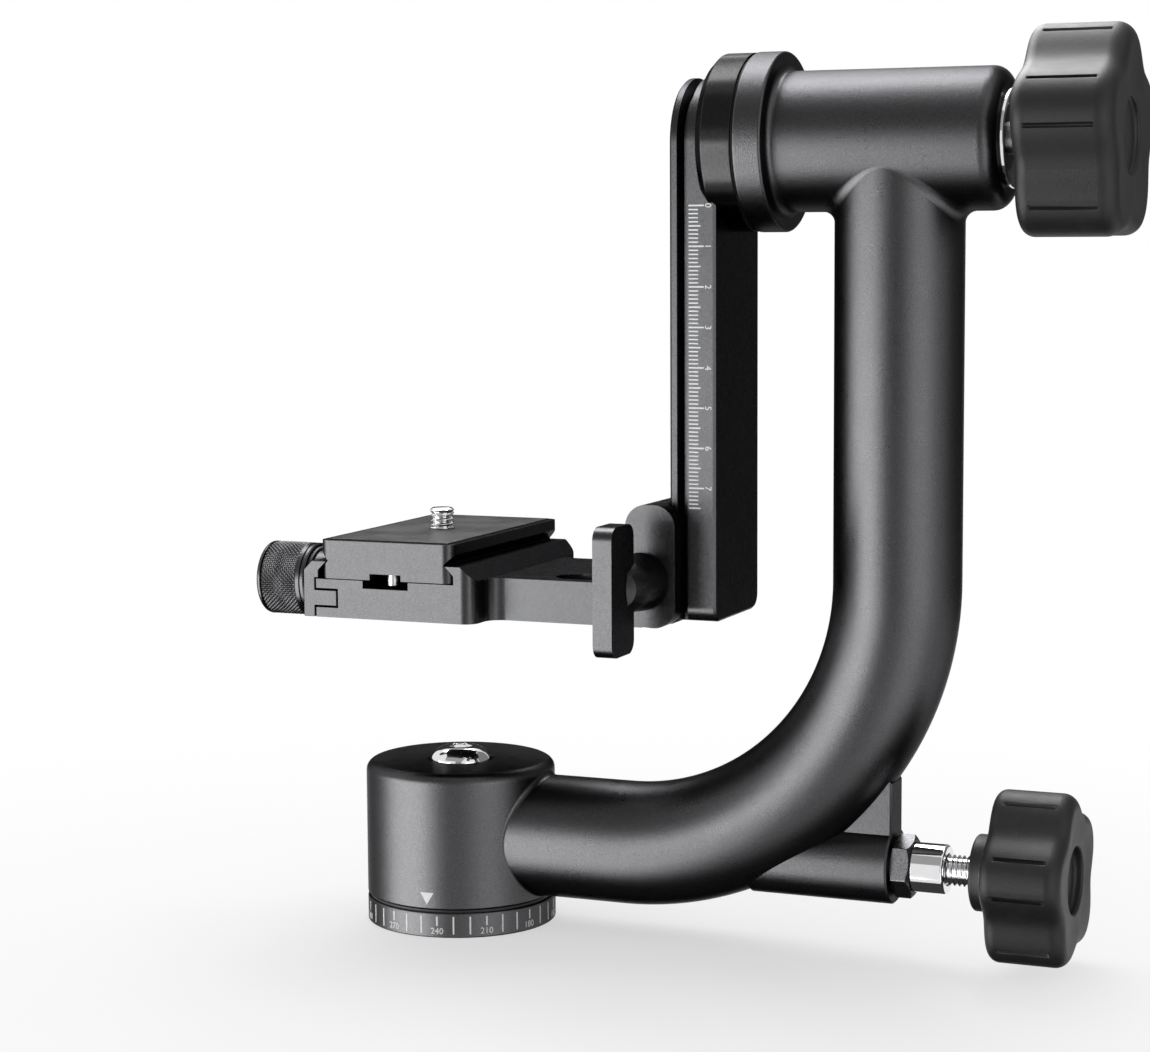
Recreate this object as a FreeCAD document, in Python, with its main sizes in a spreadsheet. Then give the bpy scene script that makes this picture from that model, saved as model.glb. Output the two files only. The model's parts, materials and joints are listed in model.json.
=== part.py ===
import FreeCAD, Part
import math
import os
import types
import Sketcher

# Gimbal head for long lenses, in millimetres, +Z up.
# The origin is the middle of the base's underside, on the pan axis.
# The arm runs along +X, and the side that faces the viewer is -Y.

SIZES = {
    # dial ring, spindle and what holds them
    "base_radius": 25.2,
    "ring_height": 6.6,
    "ring_bevel": 0.5,
    "insert_radius": 8.0,
    "insert_height": 12.0,
    "tripod_thread_radius": 4.7625,
    "shoulder_radius": 12.0,
    "spindle_radius": 10.0,
    "drum_radius": 11.5,
    "drum_height": 16.8,
    "pan_race_radius": 11.8,
    "pan_bearing_radius": 16.0,
    "pan_bearing_height": 7.0,
    "shield_gap": 0.1,
    "dial_washer_height": 0.6,
    "dial_washer_bore": 17.0,
    "dial_washer_inset": 0.7,
    "axle_screw_radius": 4.0,
    "axle_screw_depth": 14.0,
    "axle_washer_radius": 11.4,
    "axle_washer_height": 1.5,
    "axle_head_radius": 8.0,
    "axle_head_height": 5.4,
    "axle_head_round": 3.2,
    "axle_socket_flat": 5.0,
    "axle_socket_depth": 2.4,
    # panning housing
    "dial_gap": 0.8,
    "washer_clearance": 0.4,
    "top_plate": 1.7,
    "housing_bevel": 1.6,
    "head_clearance": 0.6,
    "spacer_wall": 1.6,
    # bent tube
    "tube_radius": 16.0,
    "tube_wall": 3.0,
    "tube_height": 24.0,
    "bend_radius": 72.0,
    "mast_reach": 120.8,
    "stub_length": 5.8,
    "barrel_stub": 24.0,
    # pivot barrel, lying along X at the top of the mast
    "pivot_height": 204.8,
    "barrel_radius": 17.4,
    "barrel_left": 36.1,
    "barrel_right": 27.4,
    "barrel_round": 4.0,
    "barrel_wall": 3.6,
    "flange_radius": 22.6,
    "flange_width": 7.4,
    "flange_bevel": 1.0,
    "neck_bell": 2.6,
    "swing_bearing_radius": 14.0,
    "swing_race_radius": 9.3,
    "swing_bearing_width": 7.0,
    "swing_bearing_inset": 1.0,
    "axle_radius": 7.5,
    "axle_collar_radius": 9.0,
    "axle_spigot_radius": 8.1,
    "axle_spigot_length": 4.0,
    "chamber_radius": 10.0,
    "chamber_length": 5.6,
    "clip_radius": 9.6,
    "clip_width": 0.8,
    "bush_sleeve_radius": 8.0,
    "bush_flange_radius": 12.2,
    "bush_flange_width": 1.4,
    # swing disc and ruled rail
    "swing_gap": 0.8,
    "disc_width": 9.4,
    "disc_bevel": 2.6,
    "swing_washer_width": 0.6,
    "swing_washer_bore": 14.5,
    "swing_washer_inset": 1.0,
    "rail_seat": 4.0,
    "rail_thickness": 12.1,
    "rail_half_width": 16.3,
    "rail_tail": 1.0,
    "rail_corner": 4.0,
    "rail_bevel": 0.6,
    "rail_lip": 2.0,
    "groove_width": 2.8,
    "groove_depth": 2.8,
    "groove_floor": 0.8,
    "rail_bolt_radius": 4.0,
    "rail_bolt_head": 6.0,
    "rail_bolt_head_width": 5.0,
    "rail_bolt_inset": 0.6,
    "rail_bolt_length": 24.0,
    "rail_bolt_socket": 6.0,
    "rail_screw_radius": 1.75,
    "rail_screw_head": 3.0,
    "rail_screw_head_width": 3.0,
    "rail_screw_length": 13.0,
    "rail_screw_offset": 10.2,
    "rail_screw_socket": 2.5,
    "stop_screw_radius": 1.5,
    "stop_head_radius": 2.8,
    "stop_head_width": 1.6,
    "stop_screw_depth": 5.0,
    "stop_drop": 12.2,
    # lock knobs, their M8 studs and the brakes they push
    "stud_radius": 3.95,
    "thread_clearance": 0.05,
    "pad_radius": 6.0,
    "pad_length": 5.0,
    "pad_gap": 0.3,
    "push_rod_radius": 4.5,
    "rod_to_mast": 40.8,
    "rod_clearance": 0.4,
    "boss_radius": 9.75,
    "boss_reach": 0.2,
    "boss_length": 37.0,
    "gusset_width": 9.6,
    "gusset_rise": 22.0,
    "nut_flats": 14.0,
    "nut_width": 5.0,
    "collar_radius": 6.25,
    "collar_width": 8.5,
    "pan_knob_gap": 7.2,
    "pan_knob_neck": 5.8,
    "pan_knob_neck_radius": 9.6,
    "pan_knob_width": 19.5,
    "pan_knob_radius": 21.9,
    "pan_knob_recess": 8.3,
    "tilt_knob_gap": 2.0,
    "tilt_knob_neck": 3.7,
    "tilt_knob_neck_radius": 8.6,
    "tilt_knob_width": 23.7,
    "tilt_knob_radius": 26.8,
    "tilt_knob_recess": 9.2,
    "tilt_pad_width": 2.0,
    "tilt_pad_inset": 1.0,
    "knob_recess_depth": 3.0,
    "scallop_depth": 0.2,
    "scallop_share": 0.36,
    "knob_bevel": 2.0,
    "lobe_round_share": 0.134,
    "lobe_groove_width": 0.8,
    "lobe_groove_depth": 1.2,
    "lobe_groove_end": 4.5,
    # platform arm with its rail clamp
    "arm_bottom": 84.4,
    "arm_thickness": 10.8,
    "arm_length": 33.0,
    "arm_half_width": 23.0,
    "arm_step_round": 4.5,
    "slot_inset": 3.0,
    "slot_length": 15.5,
    "slot_middle": -13.5,
    "slot_half_width": 5.2,
    "cheek_height": 30.9,
    "cheek_thickness": 9.1,
    "cheek_corner": 5.6,
    "jaw_foot": 4.0,
    "jaw_end_inset": 1.0,
    "slide_gap": 0.3,
    "jaw_gap": 0.5,
    "clamp_screw_radius": 3.0,
    "clamp_screw_inset": 4.2,
    "clamp_screw_rise": 11.6,
    "clamp_screw_tip": 8.0,
    "guide_pin_radius": 1.5,
    "guide_pin_spread": 11.0,
    "guide_pin_start": -20.0,
    "guide_pin_end": 6.0,
    "pin_clearance": 0.08,
    "hub_radius": 7.3,
    "hub_end_radius": 6.4,
    "hub_straight": 10.0,
    "hub_end_round": 5.8,
    "blade_start": 10.6,
    "blade_depth": 14.6,
    "blade_thickness": 5.0,
    "blade_height": 32.0,
    "blade_corner": 3.4,
    # quick release clamp and its plate
    "clamp_half_length": 34.0,
    "bed_length": 44.6,
    "bed_thickness": 9.9,
    "ridge_thickness": 5.4,
    "clamp_corner": 3.6,
    "hook_rise": 2.4,
    "ridge_width": 4.2,
    "floor_groove_width": 12.9,
    "floor_groove_depth": 2.0,
    "tongue_height": 4.0,
    "tongue_length": 5.8,
    "jaw_strip": 3.1,
    "jaw_bevel": 2.4,
    "plate_screw_radius": 3.0,
    "plate_screw_rise": 5.0,
    "plate_screw_grip": 11.6,
    "jaw_boss_radius": 8.2,
    "jaw_boss_length": 12.2,
    "knurl_radius": 9.9,
    "knurl_length": 14.6,
    "knurl_bevel": 1.0,
    "knob_end_wall": 2.0,
    "knob_washer_radius": 8.8,
    "knob_washer_width": 1.0,
    "plate_width": 38.0,
    "plate_rest_gap": 0.2,
    "plate_thickness": 9.9,
    "plate_corner": 3.0,
    "dovetail_foot": 2.0,
    "dovetail_depth": 2.6,
    "pad_thickness": 0.9,
    "pad_proud": 0.3,
    "pad_margin": 2.0,
    "plate_slot_half_width": 4.4,
    "plate_slot_depth": 1.6,
    "plate_stop_radius": 1.75,
    "plate_stop_spread": 29.0,
    "plate_stop_length": 5.6,
    "camera_screw_radius": 3.175,
    "camera_neck_radius": 2.5,
    "camera_neck_gap": 0.1,
    "camera_screw_reach": 5.8,
    "camera_head_radius": 8.0,
    "camera_head_width": 3.4,
    "camera_head_clearance": 0.4,
    "camera_head_seat": 0.4,
    "camera_hole_clearance": 0.09,
}

LOBES = 5
LOBE_GROOVE_ANGLE = 12.0
TILT_LOBE_ANGLE = 92.0
PAN_LOBE_ANGLE = 182.0
FULL_TURN = 360.0

PLANES = {"XY": "XY_Plane", "XZ": "XZ_Plane", "YZ": "YZ_Plane"}
TURNING = {"X": ("XZ", "H_Axis"), "Y": ("YZ", "H_Axis"), "Z": ("XZ", "V_Axis")}


class Length:
    # A number beside the sheet expression that gives it.
    def __init__(self, text, number):
        self.text = text
        self.number = number

    def __add__(self, other):
        other = as_length(other)
        return Length(f"({self.text} + {other.text})", self.number + other.number)

    def __sub__(self, other):
        other = as_length(other)
        return Length(f"({self.text} - {other.text})", self.number - other.number)

    def __mul__(self, other):
        other = as_length(other)
        return Length(f"({self.text} * {other.text})", self.number * other.number)

    def __truediv__(self, other):
        other = as_length(other)
        return Length(f"({self.text} / {other.text})", self.number / other.number)

    def __radd__(self, other):
        return as_length(other) + self

    def __rsub__(self, other):
        return as_length(other) - self

    def __rmul__(self, other):
        return as_length(other) * self

    def __neg__(self):
        return Length(f"(0 - {self.text})", -self.number)


def as_length(value):
    return value if isinstance(value, Length) else Length(repr(float(value)), float(value))


def make_sheet(doc, values):
    sheet = doc.addObject("Spreadsheet::Sheet", "Sizes")
    for row, (alias, value) in enumerate(values.items(), start=1):
        sheet.set(f"A{row}", alias)
        sheet.set(f"B{row}", str(value))
        sheet.setAlias(f"B{row}", alias)
    doc.recompute()
    return types.SimpleNamespace(**{
        alias: Length(f"Sizes.{alias}", float(sheet.get(alias))) for alias in values})


def bind(thing, path, value):
    value = as_length(value)
    thing.setExpression(path, value.text)


def place(thing, at):
    for name, value in zip("xyz", at):
        if isinstance(value, Length):
            bind(thing, f"Placement.Base.{name}", value)


doc = FreeCAD.newDocument("gimbal_head")
z = make_sheet(doc, SIZES)
nodes = []


class Piece:
    # One sub-part: a body whose sketches and features follow the sheet.
    def __init__(self, label, at=(0, 0, 0), keep=True):
        self.body = doc.addObject("PartDesign::Body", label + "_body")
        self.body.Label = label
        self.label = label
        self.count = 0
        start = [as_length(value).number for value in at]
        self.body.Placement = FreeCAD.Placement(FreeCAD.Vector(*start), FreeCAD.Rotation())
        place(self.body, at)
        if keep:
            nodes.append(self.body)

    def origin(self, role):
        found = [item for item in self.body.Origin.OriginFeatures if item.Role == role]
        return found[0]

    def feature(self, kind, name):
        self.count += 1
        return self.body.newObject(kind, f"{self.label}_{name}_{self.count}")

    def sketch(self, plane, offset=None):
        sketch = self.feature("Sketcher::SketchObject", "outline")
        sketch.AttachmentSupport = [(self.origin(PLANES[plane]), "")]
        sketch.MapMode = "FlatFace"
        if offset is not None:
            bind(sketch, "AttachmentOffset.Base.z", offset)
        return sketch

    def polygon(self, plane, points, offset=None):
        sketch = self.sketch(plane, offset)
        corners = [(as_length(x), as_length(y)) for x, y in points]
        spots = [FreeCAD.Vector(x.number, y.number, 0) for x, y in corners]
        ends = spots[1:] + spots[:1]
        sketch.addGeometry([Part.LineSegment(a, b) for a, b in zip(spots, ends)], False)
        count = len(corners)
        sketch.addConstraint([
            Sketcher.Constraint("Coincident", i, 2, (i + 1) % count, 1) for i in range(count)])
        for i, (x, y) in enumerate(corners):
            pin_point(sketch, i, 1, x, y)
        return sketch

    def circles(self, plane, rounds, offset=None):
        sketch = self.sketch(plane, offset)
        for i, (x, y, radius) in enumerate(rounds):
            x, y, radius = as_length(x), as_length(y), as_length(radius)
            middle = FreeCAD.Vector(x.number, y.number, 0)
            up = FreeCAD.Vector(0, 0, 1)
            sketch.addGeometry(Part.Circle(middle, up, radius.number), False)
            pin_point(sketch, i, 3, x, y)
            row = sketch.addConstraint(Sketcher.Constraint("Radius", i, radius.number))
            bind(sketch, f"Constraints[{row}]", radius)
        return sketch

    def along(self, plane, low, high, cutting):
        # The sketch's place on its normal: the XZ plane's normal is -Y,
        # a pad grows along the normal and a pocket goes against it.
        low, high = as_length(low), as_length(high)
        if plane == "XZ":
            return -low if cutting else -high
        return high if cutting else low

    def extend(self, kind, plane, outline, low, high):
        cutting = kind == "PartDesign::Pocket"
        offset = self.along(plane, low, high, cutting)
        round_ends = len(outline[0]) == 3
        make = self.circles if round_ends else self.polygon
        sketch = make(plane, outline, offset)
        feature = self.feature(kind, "cut" if cutting else "block")
        feature.Profile = sketch
        bind(feature, "Length", as_length(high) - as_length(low))
        self.body.Tip = feature
        return feature

    def block(self, plane, outline, low, high):
        return self.extend("PartDesign::Pad", plane, outline, low, high)

    def cut(self, plane, outline, low, high):
        return self.extend("PartDesign::Pocket", plane, outline, low, high)

    def turn(self, axis, outline, cutting=False):
        # The outline's points are (distance along the axis, radius).
        plane, line = TURNING[axis]
        points = [(r, a) for a, r in outline] if axis == "Z" else outline
        sketch = self.polygon(plane, points)
        kind = "PartDesign::Groove" if cutting else "PartDesign::Revolution"
        feature = self.feature(kind, "groove" if cutting else "turned")
        feature.Profile = sketch
        feature.ReferenceAxis = (sketch, [line])
        feature.Angle = FULL_TURN
        self.body.Tip = feature
        return feature

    def sleeve(self, axis, low, high, inner, outer):
        return self.turn(axis, [(low, inner), (high, inner), (high, outer), (low, outer)])

    def bore(self, axis, low, high, radius):
        return self.turn(axis, [(low, 0), (high, 0), (high, radius), (low, radius)], cutting=True)

    def dress(self, kind, size_name, size, wanted):
        doc.recompute()
        base = self.body.Tip
        names = [f"Edge{i}" for i, edge in enumerate(base.Shape.Edges, start=1) if wanted(edge)]
        if not names:
            raise RuntimeError(f"{self.label}: no edge to dress")
        feature = self.feature(kind, "edge")
        feature.Base = (base, names)
        bind(feature, size_name, size)
        self.body.Tip = feature
        return feature

    def rounded(self, radius, wanted):
        return self.dress("PartDesign::Fillet", "Radius", radius, wanted)

    def bevelled(self, size, wanted):
        return self.dress("PartDesign::Chamfer", "Size", size, wanted)

    def repeat(self, features, role, count):
        doc.recompute()
        pattern = self.feature("PartDesign::PolarPattern", "pattern")
        pattern.Originals = features
        pattern.Axis = (self.origin(role), [""])
        pattern.Angle = FULL_TURN
        pattern.Occurrences = count
        self.body.Tip = pattern
        return pattern


def pin_point(sketch, line, spot, x, y):
    for kind, value in (("DistanceX", x), ("DistanceY", y)):
        row = sketch.addConstraint(Sketcher.Constraint(kind, -1, 1, line, spot, value.number))
        bind(sketch, f"Constraints[{row}]", value)


def near(a, b):
    return abs(a - as_length(b).number) < 1e-4


def is_circle(edge, axis, position=None, radius=None):
    # True for a round edge about the given axis, at that place and size.
    if edge.Curve.TypeId != "Part::GeomCircle":
        return False
    index = "XYZ".index(axis)
    if not near(abs(edge.Curve.Axis[index]), 1):
        return False
    if position is not None and not near(edge.Curve.Center[index], position):
        return False
    return radius is None or near(edge.Curve.Radius, radius)


def is_straight(edge, axis, **places):
    # True for a straight edge along the axis, at the named coordinates.
    if edge.Curve.TypeId != "Part::GeomLine":
        return False
    if not near(abs(edge.Curve.Direction["XYZ".index(axis)]), 1):
        return False
    middle = edge.CenterOfMass
    return all(near(getattr(middle, name), value) for name, value in places.items())


def in_plane(edge, axis, position):
    # True for any edge that lies in the plane at that place on the axis.
    box = edge.BoundBox
    low = getattr(box, axis + "Min")
    high = getattr(box, axis + "Max")
    return near(low, position) and near(high, position)


def eased(end, radius, size):
    # A round end of a turned outline as two short slopes, from the side to the end face.
    share = 1 - 1 / math.sqrt(2)
    return [(end - size, radius), (end - size * share, radius - size * share), (end, radius - size)]


def rectangle(low_x, high_x, low_y, high_y):
    return [(low_x, low_y), (high_x, low_y), (high_x, high_y), (low_x, high_y)]


def hexagon(flats, middle=(0, 0)):
    corner = flats / math.sqrt(3)
    return [
        (middle[0] + corner * math.cos(math.radians(60 * i + 30)),
         middle[1] + corner * math.sin(math.radians(60 * i + 30)))
        for i in range(6)]


# Heights on the pan spindle, whose brake drum is level with the tube.
pan_low_top = z.tube_height - z.drum_height / 2
pan_high = z.tube_height + z.drum_height / 2
pan_low = pan_low_top - z.pan_bearing_height
spindle_top = pan_high + z.pan_bearing_height
washer_top = spindle_top + z.axle_washer_height
under_plate = washer_top + z.washer_clearance
housing_top = under_plate + z.top_plate
housing_foot = z.ring_height + z.dial_gap
housing_bore = z.pan_bearing_radius

# The bent tube and the two straight runs beside its bend.
housing_stub = z.base_radius + z.stub_length
tube_bore = z.tube_radius - z.tube_wall
bend_start = z.mast_reach - z.bend_radius
bend_top = z.tube_height + z.bend_radius
mast_top = z.pivot_height - z.barrel_stub
stud_bore = z.stud_radius + z.thread_clearance
pivot = (0, 0, z.pivot_height)

# Places along the swing axle, from the rail to the tilt knob.
barrel_start = z.mast_reach - z.barrel_left
barrel_end = z.mast_reach + z.barrel_right
swing_left = barrel_start + z.swing_bearing_inset
swing_left_end = swing_left + z.swing_bearing_width
chamber_end = barrel_end - z.barrel_wall
chamber_start = chamber_end - z.chamber_length
swing_right = chamber_start - z.swing_bearing_width
axle_end = chamber_start + z.clip_width
disc_end = barrel_start - z.swing_gap
disc_start = disc_end - z.disc_width
bush_end = barrel_end + z.bush_flange_width
tilt_knob_start = bush_end + z.tilt_knob_gap + z.tilt_knob_neck
tilt_knob_end = tilt_knob_start + z.tilt_knob_width

# The rail with its groove, and the screws on its left face.
rail_end = disc_start + z.rail_seat
rail_start = rail_end - z.rail_thickness
rail_bottom = z.arm_bottom + z.rail_tail
lip_end = rail_start + z.rail_lip
groove_end = lip_end + z.groove_width
groove_ramp = (z.groove_width - z.groove_floor) / 2
groove_deep = z.rail_half_width - z.groove_depth
screw_seat = rail_start + z.rail_bolt_inset
bolt_head_end = screw_seat + z.rail_bolt_head_width
screw_head_end = screw_seat + z.rail_screw_head_width
stop_height = z.pivot_height - z.stop_drop

# Places along the pan lock, from the brake drum to the knob.
pad_start = z.drum_radius + z.pad_gap
pad_end = pad_start + z.pad_length
push_rod_end = z.mast_reach - z.rod_to_mast
boss_end = z.mast_reach + z.boss_reach
boss_start = boss_end - z.boss_length
nut_end = boss_end + z.nut_width
collar_end = nut_end + z.collar_width
pan_knob_start = collar_end + z.pan_knob_gap + z.pan_knob_neck
pan_knob_end = pan_knob_start + z.pan_knob_width

# The platform, from the rail back to the far edge of the clamp bed.
cheek_end = rail_start - z.slide_gap
cheek_start = cheek_end - z.cheek_thickness
jaw_foot_start = cheek_start - z.jaw_foot
jaw_end = groove_end - z.jaw_end_inset
jaw_mouth = z.rail_half_width + z.jaw_gap
jaw_inner = groove_deep + z.jaw_gap
bed_end = jaw_foot_start - z.arm_length
bed_start = bed_end - z.bed_length
arm_top = z.arm_bottom + z.arm_thickness
bed_top = z.arm_bottom + z.bed_thickness
bed_dip = bed_top - z.floor_groove_depth
cheek_top = z.arm_bottom + z.cheek_height
clamp_screw = (cheek_start + z.clamp_screw_inset, z.arm_bottom + z.clamp_screw_rise)

# The quick release plate and the jaws on its two sides.
ridge_in = bed_end - z.ridge_thickness
plate_end = ridge_in - z.slide_gap
plate_start = plate_end - z.plate_width
plate_middle = plate_end - z.plate_width / 2
plate_foot = bed_top + z.plate_rest_gap
plate_top = plate_foot + z.plate_thickness
dovetail_low = plate_foot + z.dovetail_foot
ridge_top = dovetail_low + z.hook_rise
plate_screw_height = z.arm_bottom + z.plate_screw_rise
plate_screw_tip = bed_start + z.plate_screw_grip
tongue_end = bed_start + z.tongue_length
jaw_inside = bed_start - z.jaw_gap
jaw_outside = jaw_inside - z.jaw_strip
jaw_boss_start = jaw_outside - z.jaw_boss_length
pad_floor = plate_top + z.pad_proud - z.pad_thickness
camera_head_low = plate_foot + z.camera_head_seat
camera_head_high = camera_head_low + z.camera_head_width
camera_head_top = camera_head_high + z.camera_head_seat
stop_foot = bed_dip + z.jaw_gap
stop_top = stop_foot + z.plate_stop_length


def base_plate():
    piece = Piece("base_plate")
    piece.turn("Z", [
        (0, 0), (0, z.base_radius), (z.ring_height, z.base_radius),
        (z.ring_height, z.shoulder_radius), (pan_low, z.shoulder_radius),
        (pan_low, z.spindle_radius), (spindle_top, z.spindle_radius), (spindle_top, 0)])
    piece.bore("Z", 0, z.insert_height, z.insert_radius)
    piece.bore("Z", spindle_top - z.axle_screw_depth, spindle_top, z.axle_screw_radius)
    piece.bevelled(z.ring_bevel, lambda e: is_circle(e, "Z", radius=z.base_radius))


def tripod_insert():
    piece = Piece("tripod_insert")
    piece.sleeve("Z", 0, z.insert_height, z.tripod_thread_radius, z.insert_radius)


def dial_washer():
    piece = Piece("dial_washer")
    top = z.ring_height + z.dial_washer_height
    piece.sleeve("Z", z.ring_height, top, z.dial_washer_bore, z.base_radius - z.dial_washer_inset)


def pan_bearings():
    for side, low in (("lower", pan_low), ("upper", pan_high)):
        high = low + z.pan_bearing_height
        race = Piece(f"pan_inner_race_{side}")
        race.sleeve("Z", low, high, z.spindle_radius, z.pan_race_radius)
        bearing = Piece(f"pan_bearing_{side}")
        bearing.sleeve("Z", low, high, z.pan_race_radius + z.shield_gap, z.pan_bearing_radius)


def pan_drum():
    piece = Piece("pan_brake_drum")
    piece.sleeve("Z", pan_low_top, pan_high, z.spindle_radius, z.drum_radius)


def pan_spacer():
    piece = Piece("pan_spacer")
    inner = z.pan_bearing_radius - z.spacer_wall
    piece.sleeve("Z", pan_low_top, pan_high, inner, z.pan_bearing_radius)
    hole = [(0, z.tube_height, z.pad_radius + z.rod_clearance)]
    piece.cut("YZ", hole, 0, z.base_radius)


def axle_screw():
    washer = Piece("pan_axle_washer")
    washer.sleeve("Z", spindle_top, washer_top, z.axle_screw_radius, z.axle_washer_radius)
    screw = Piece("pan_axle_screw")
    head_top = washer_top + z.axle_head_height
    foot = spindle_top - z.axle_screw_depth
    screw.turn("Z", [
        (foot, 0), (foot, z.axle_screw_radius), (washer_top, z.axle_screw_radius),
        (washer_top, z.axle_head_radius)]
        + eased(head_top, z.axle_head_radius, z.axle_head_round) + [(head_top, 0)])
    screw.cut("XY", hexagon(z.axle_socket_flat), head_top - z.axle_socket_depth, head_top)


def pan_housing():
    piece = Piece("pan_housing")
    piece.sleeve("Z", housing_foot, housing_top, 0, z.base_radius)
    piece.bevelled(z.housing_bevel, lambda e: is_circle(e, "Z", housing_top))
    piece.block("YZ", [(0, z.tube_height, z.tube_radius)], z.base_radius / 2, housing_stub)
    piece.bore("Z", housing_foot, spindle_top, housing_bore)
    piece.bore("Z", spindle_top, under_plate, z.axle_washer_radius + z.head_clearance)
    piece.bore("Z", under_plate, housing_top, z.axle_head_radius + z.head_clearance)
    piece.cut("YZ", [(0, z.tube_height, z.pad_radius + z.rod_clearance)], 0, z.base_radius)
    piece.cut("YZ", [(0, z.tube_height, tube_bore)], z.base_radius, housing_stub)


def round_bar(name, radius, length, at, turned):
    bar = doc.addObject("Part::Cylinder", name)
    bar.Placement = FreeCAD.Placement(FreeCAD.Vector(), turned)
    bind(bar, "Radius", radius)
    bind(bar, "Height", length)
    place(bar, [as_length(value) for value in at])
    return bar


def elbow(name, radius):
    # A quarter of a ring in the XZ plane, from straight down to +X.
    bend = doc.addObject("Part::Torus", name)
    down_to_x = FreeCAD.Rotation(FreeCAD.Vector(0, 0, -1), FreeCAD.Vector(1, 0, 0),
                                 FreeCAD.Vector(0, -1, 0), "XYZ")
    bend.Placement = FreeCAD.Placement(FreeCAD.Vector(), down_to_x)
    bend.Angle3 = 90
    bind(bend, "Radius1", z.bend_radius)
    bind(bend, "Radius2", radius)
    place(bend, (bend_start, as_length(0), bend_top))
    return bend


def tube_run(name, radius):
    # The straight run along X, the bend and the mast, as one solid.
    along_x = FreeCAD.Rotation(FreeCAD.Vector(0, 1, 0), 90)
    level = round_bar(name + "_level", radius, bend_start - housing_stub,
                      (housing_stub, 0, z.tube_height), along_x)
    mast = round_bar(name + "_mast", radius, mast_top - bend_top,
                     (z.mast_reach, 0, bend_top), FreeCAD.Rotation())
    run = doc.addObject("Part::MultiFuse", name)
    run.Shapes = [level, elbow(name + "_elbow", radius), mast]
    return run


def cut_away(label, base, tools):
    result = doc.addObject("Part::Cut", label)
    result.Label = label
    result.Base = base
    if len(tools) == 1:
        result.Tool = tools[0]
    else:
        joined = doc.addObject("Part::MultiFuse", label + "_tools")
        joined.Shapes = tools
        result.Tool = joined
    nodes.append(result)
    return result


def bent_tube():
    along_x = FreeCAD.Rotation(FreeCAD.Vector(0, 1, 0), 90)
    hole = round_bar("stud_way", z.stud_radius + z.rod_clearance, boss_end - push_rod_end,
                     (push_rod_end, 0, z.tube_height), along_x)
    outside = tube_run("tube_outside", z.tube_radius)
    inside = tube_run("tube_inside", tube_bore)
    cut_away("bent_tube", outside, [inside, hole])
    return outside


def lock_boss(outside):
    piece = Piece("lock_boss_blank", keep=False)
    piece.block("YZ", [(0, z.tube_height, z.boss_radius)], boss_start, boss_end)
    plate = rectangle(boss_start, boss_end, z.tube_height, z.tube_height + z.gusset_rise)
    piece.block("XZ", plate, -z.gusset_width / 2, z.gusset_width / 2)
    piece.bevelled(z.ring_bevel, lambda e: in_plane(e, "X", boss_end))
    piece.cut("YZ", [(0, z.tube_height, stud_bore)], boss_start, boss_end)
    cut_away("lock_boss", piece.body, [outside])


def lock_nut():
    piece = Piece("lock_nut", at=(boss_end, 0, z.tube_height))
    piece.block("YZ", hexagon(z.nut_flats), 0, z.nut_width)
    piece.cut("YZ", [(0, 0, stud_bore)], 0, z.nut_width)
    collar = Piece("lock_collar", at=(boss_end + z.nut_width, 0, z.tube_height))
    collar.sleeve("X", 0, z.collar_width, stud_bore, z.collar_radius)
    collar.bevelled(z.ring_bevel, lambda e: is_circle(e, "X", radius=z.collar_radius))


def pivot_barrel():
    piece = Piece("pivot_barrel", at=pivot)
    flange_end = barrel_start + z.flange_width
    neck_end = flange_end + z.neck_bell
    piece.turn("X", [
        (barrel_start, 0), (barrel_start, z.flange_radius),
        (flange_end - z.flange_bevel, z.flange_radius),
        (flange_end, z.flange_radius - z.flange_bevel),
        (flange_end, z.barrel_radius + z.neck_bell), (neck_end, z.barrel_radius)]
        + eased(barrel_end, z.barrel_radius, z.barrel_round) + [(barrel_end, 0)])
    piece.block("XY", [(z.mast_reach, 0, z.tube_radius)], -z.barrel_stub, 0)
    piece.bore("X", barrel_start, chamber_start, z.swing_bearing_radius)
    piece.bore("X", chamber_start, chamber_end, z.chamber_radius)
    piece.bore("X", chamber_end, barrel_end, z.bush_sleeve_radius)
    piece.cut("XY", [(z.mast_reach, 0, tube_bore)], -z.barrel_stub, 0)


def swing_bearings():
    for side, low in (("left", swing_left), ("right", swing_right)):
        high = low + z.swing_bearing_width
        race = Piece(f"swing_inner_race_{side}", at=pivot)
        race.sleeve("X", low, high, z.axle_radius, z.swing_race_radius)
        bearing = Piece(f"swing_bearing_{side}", at=pivot)
        inner = z.swing_race_radius + z.shield_gap
        bearing.sleeve("X", low, high, inner, z.swing_bearing_radius)


def swing_axle():
    piece = Piece("swing_axle", at=pivot)
    start = disc_end - z.axle_spigot_length
    piece.turn("X", [
        (start, 0), (start, z.axle_spigot_radius), (disc_end, z.axle_spigot_radius),
        (disc_end, z.axle_collar_radius), (swing_left, z.axle_collar_radius),
        (swing_left, z.axle_radius), (axle_end, z.axle_radius), (axle_end, 0)])
    piece.bore("X", start, bolt_head_end + z.rail_bolt_length, z.rail_bolt_radius)
    spacer = Piece("swing_spacer", at=pivot)
    spacer.sleeve("X", swing_left_end, swing_right, z.axle_radius, z.axle_collar_radius)
    clip = Piece("swing_retaining_ring", at=pivot)
    clip.sleeve("X", chamber_start, axle_end, z.axle_radius, z.clip_radius)


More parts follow.
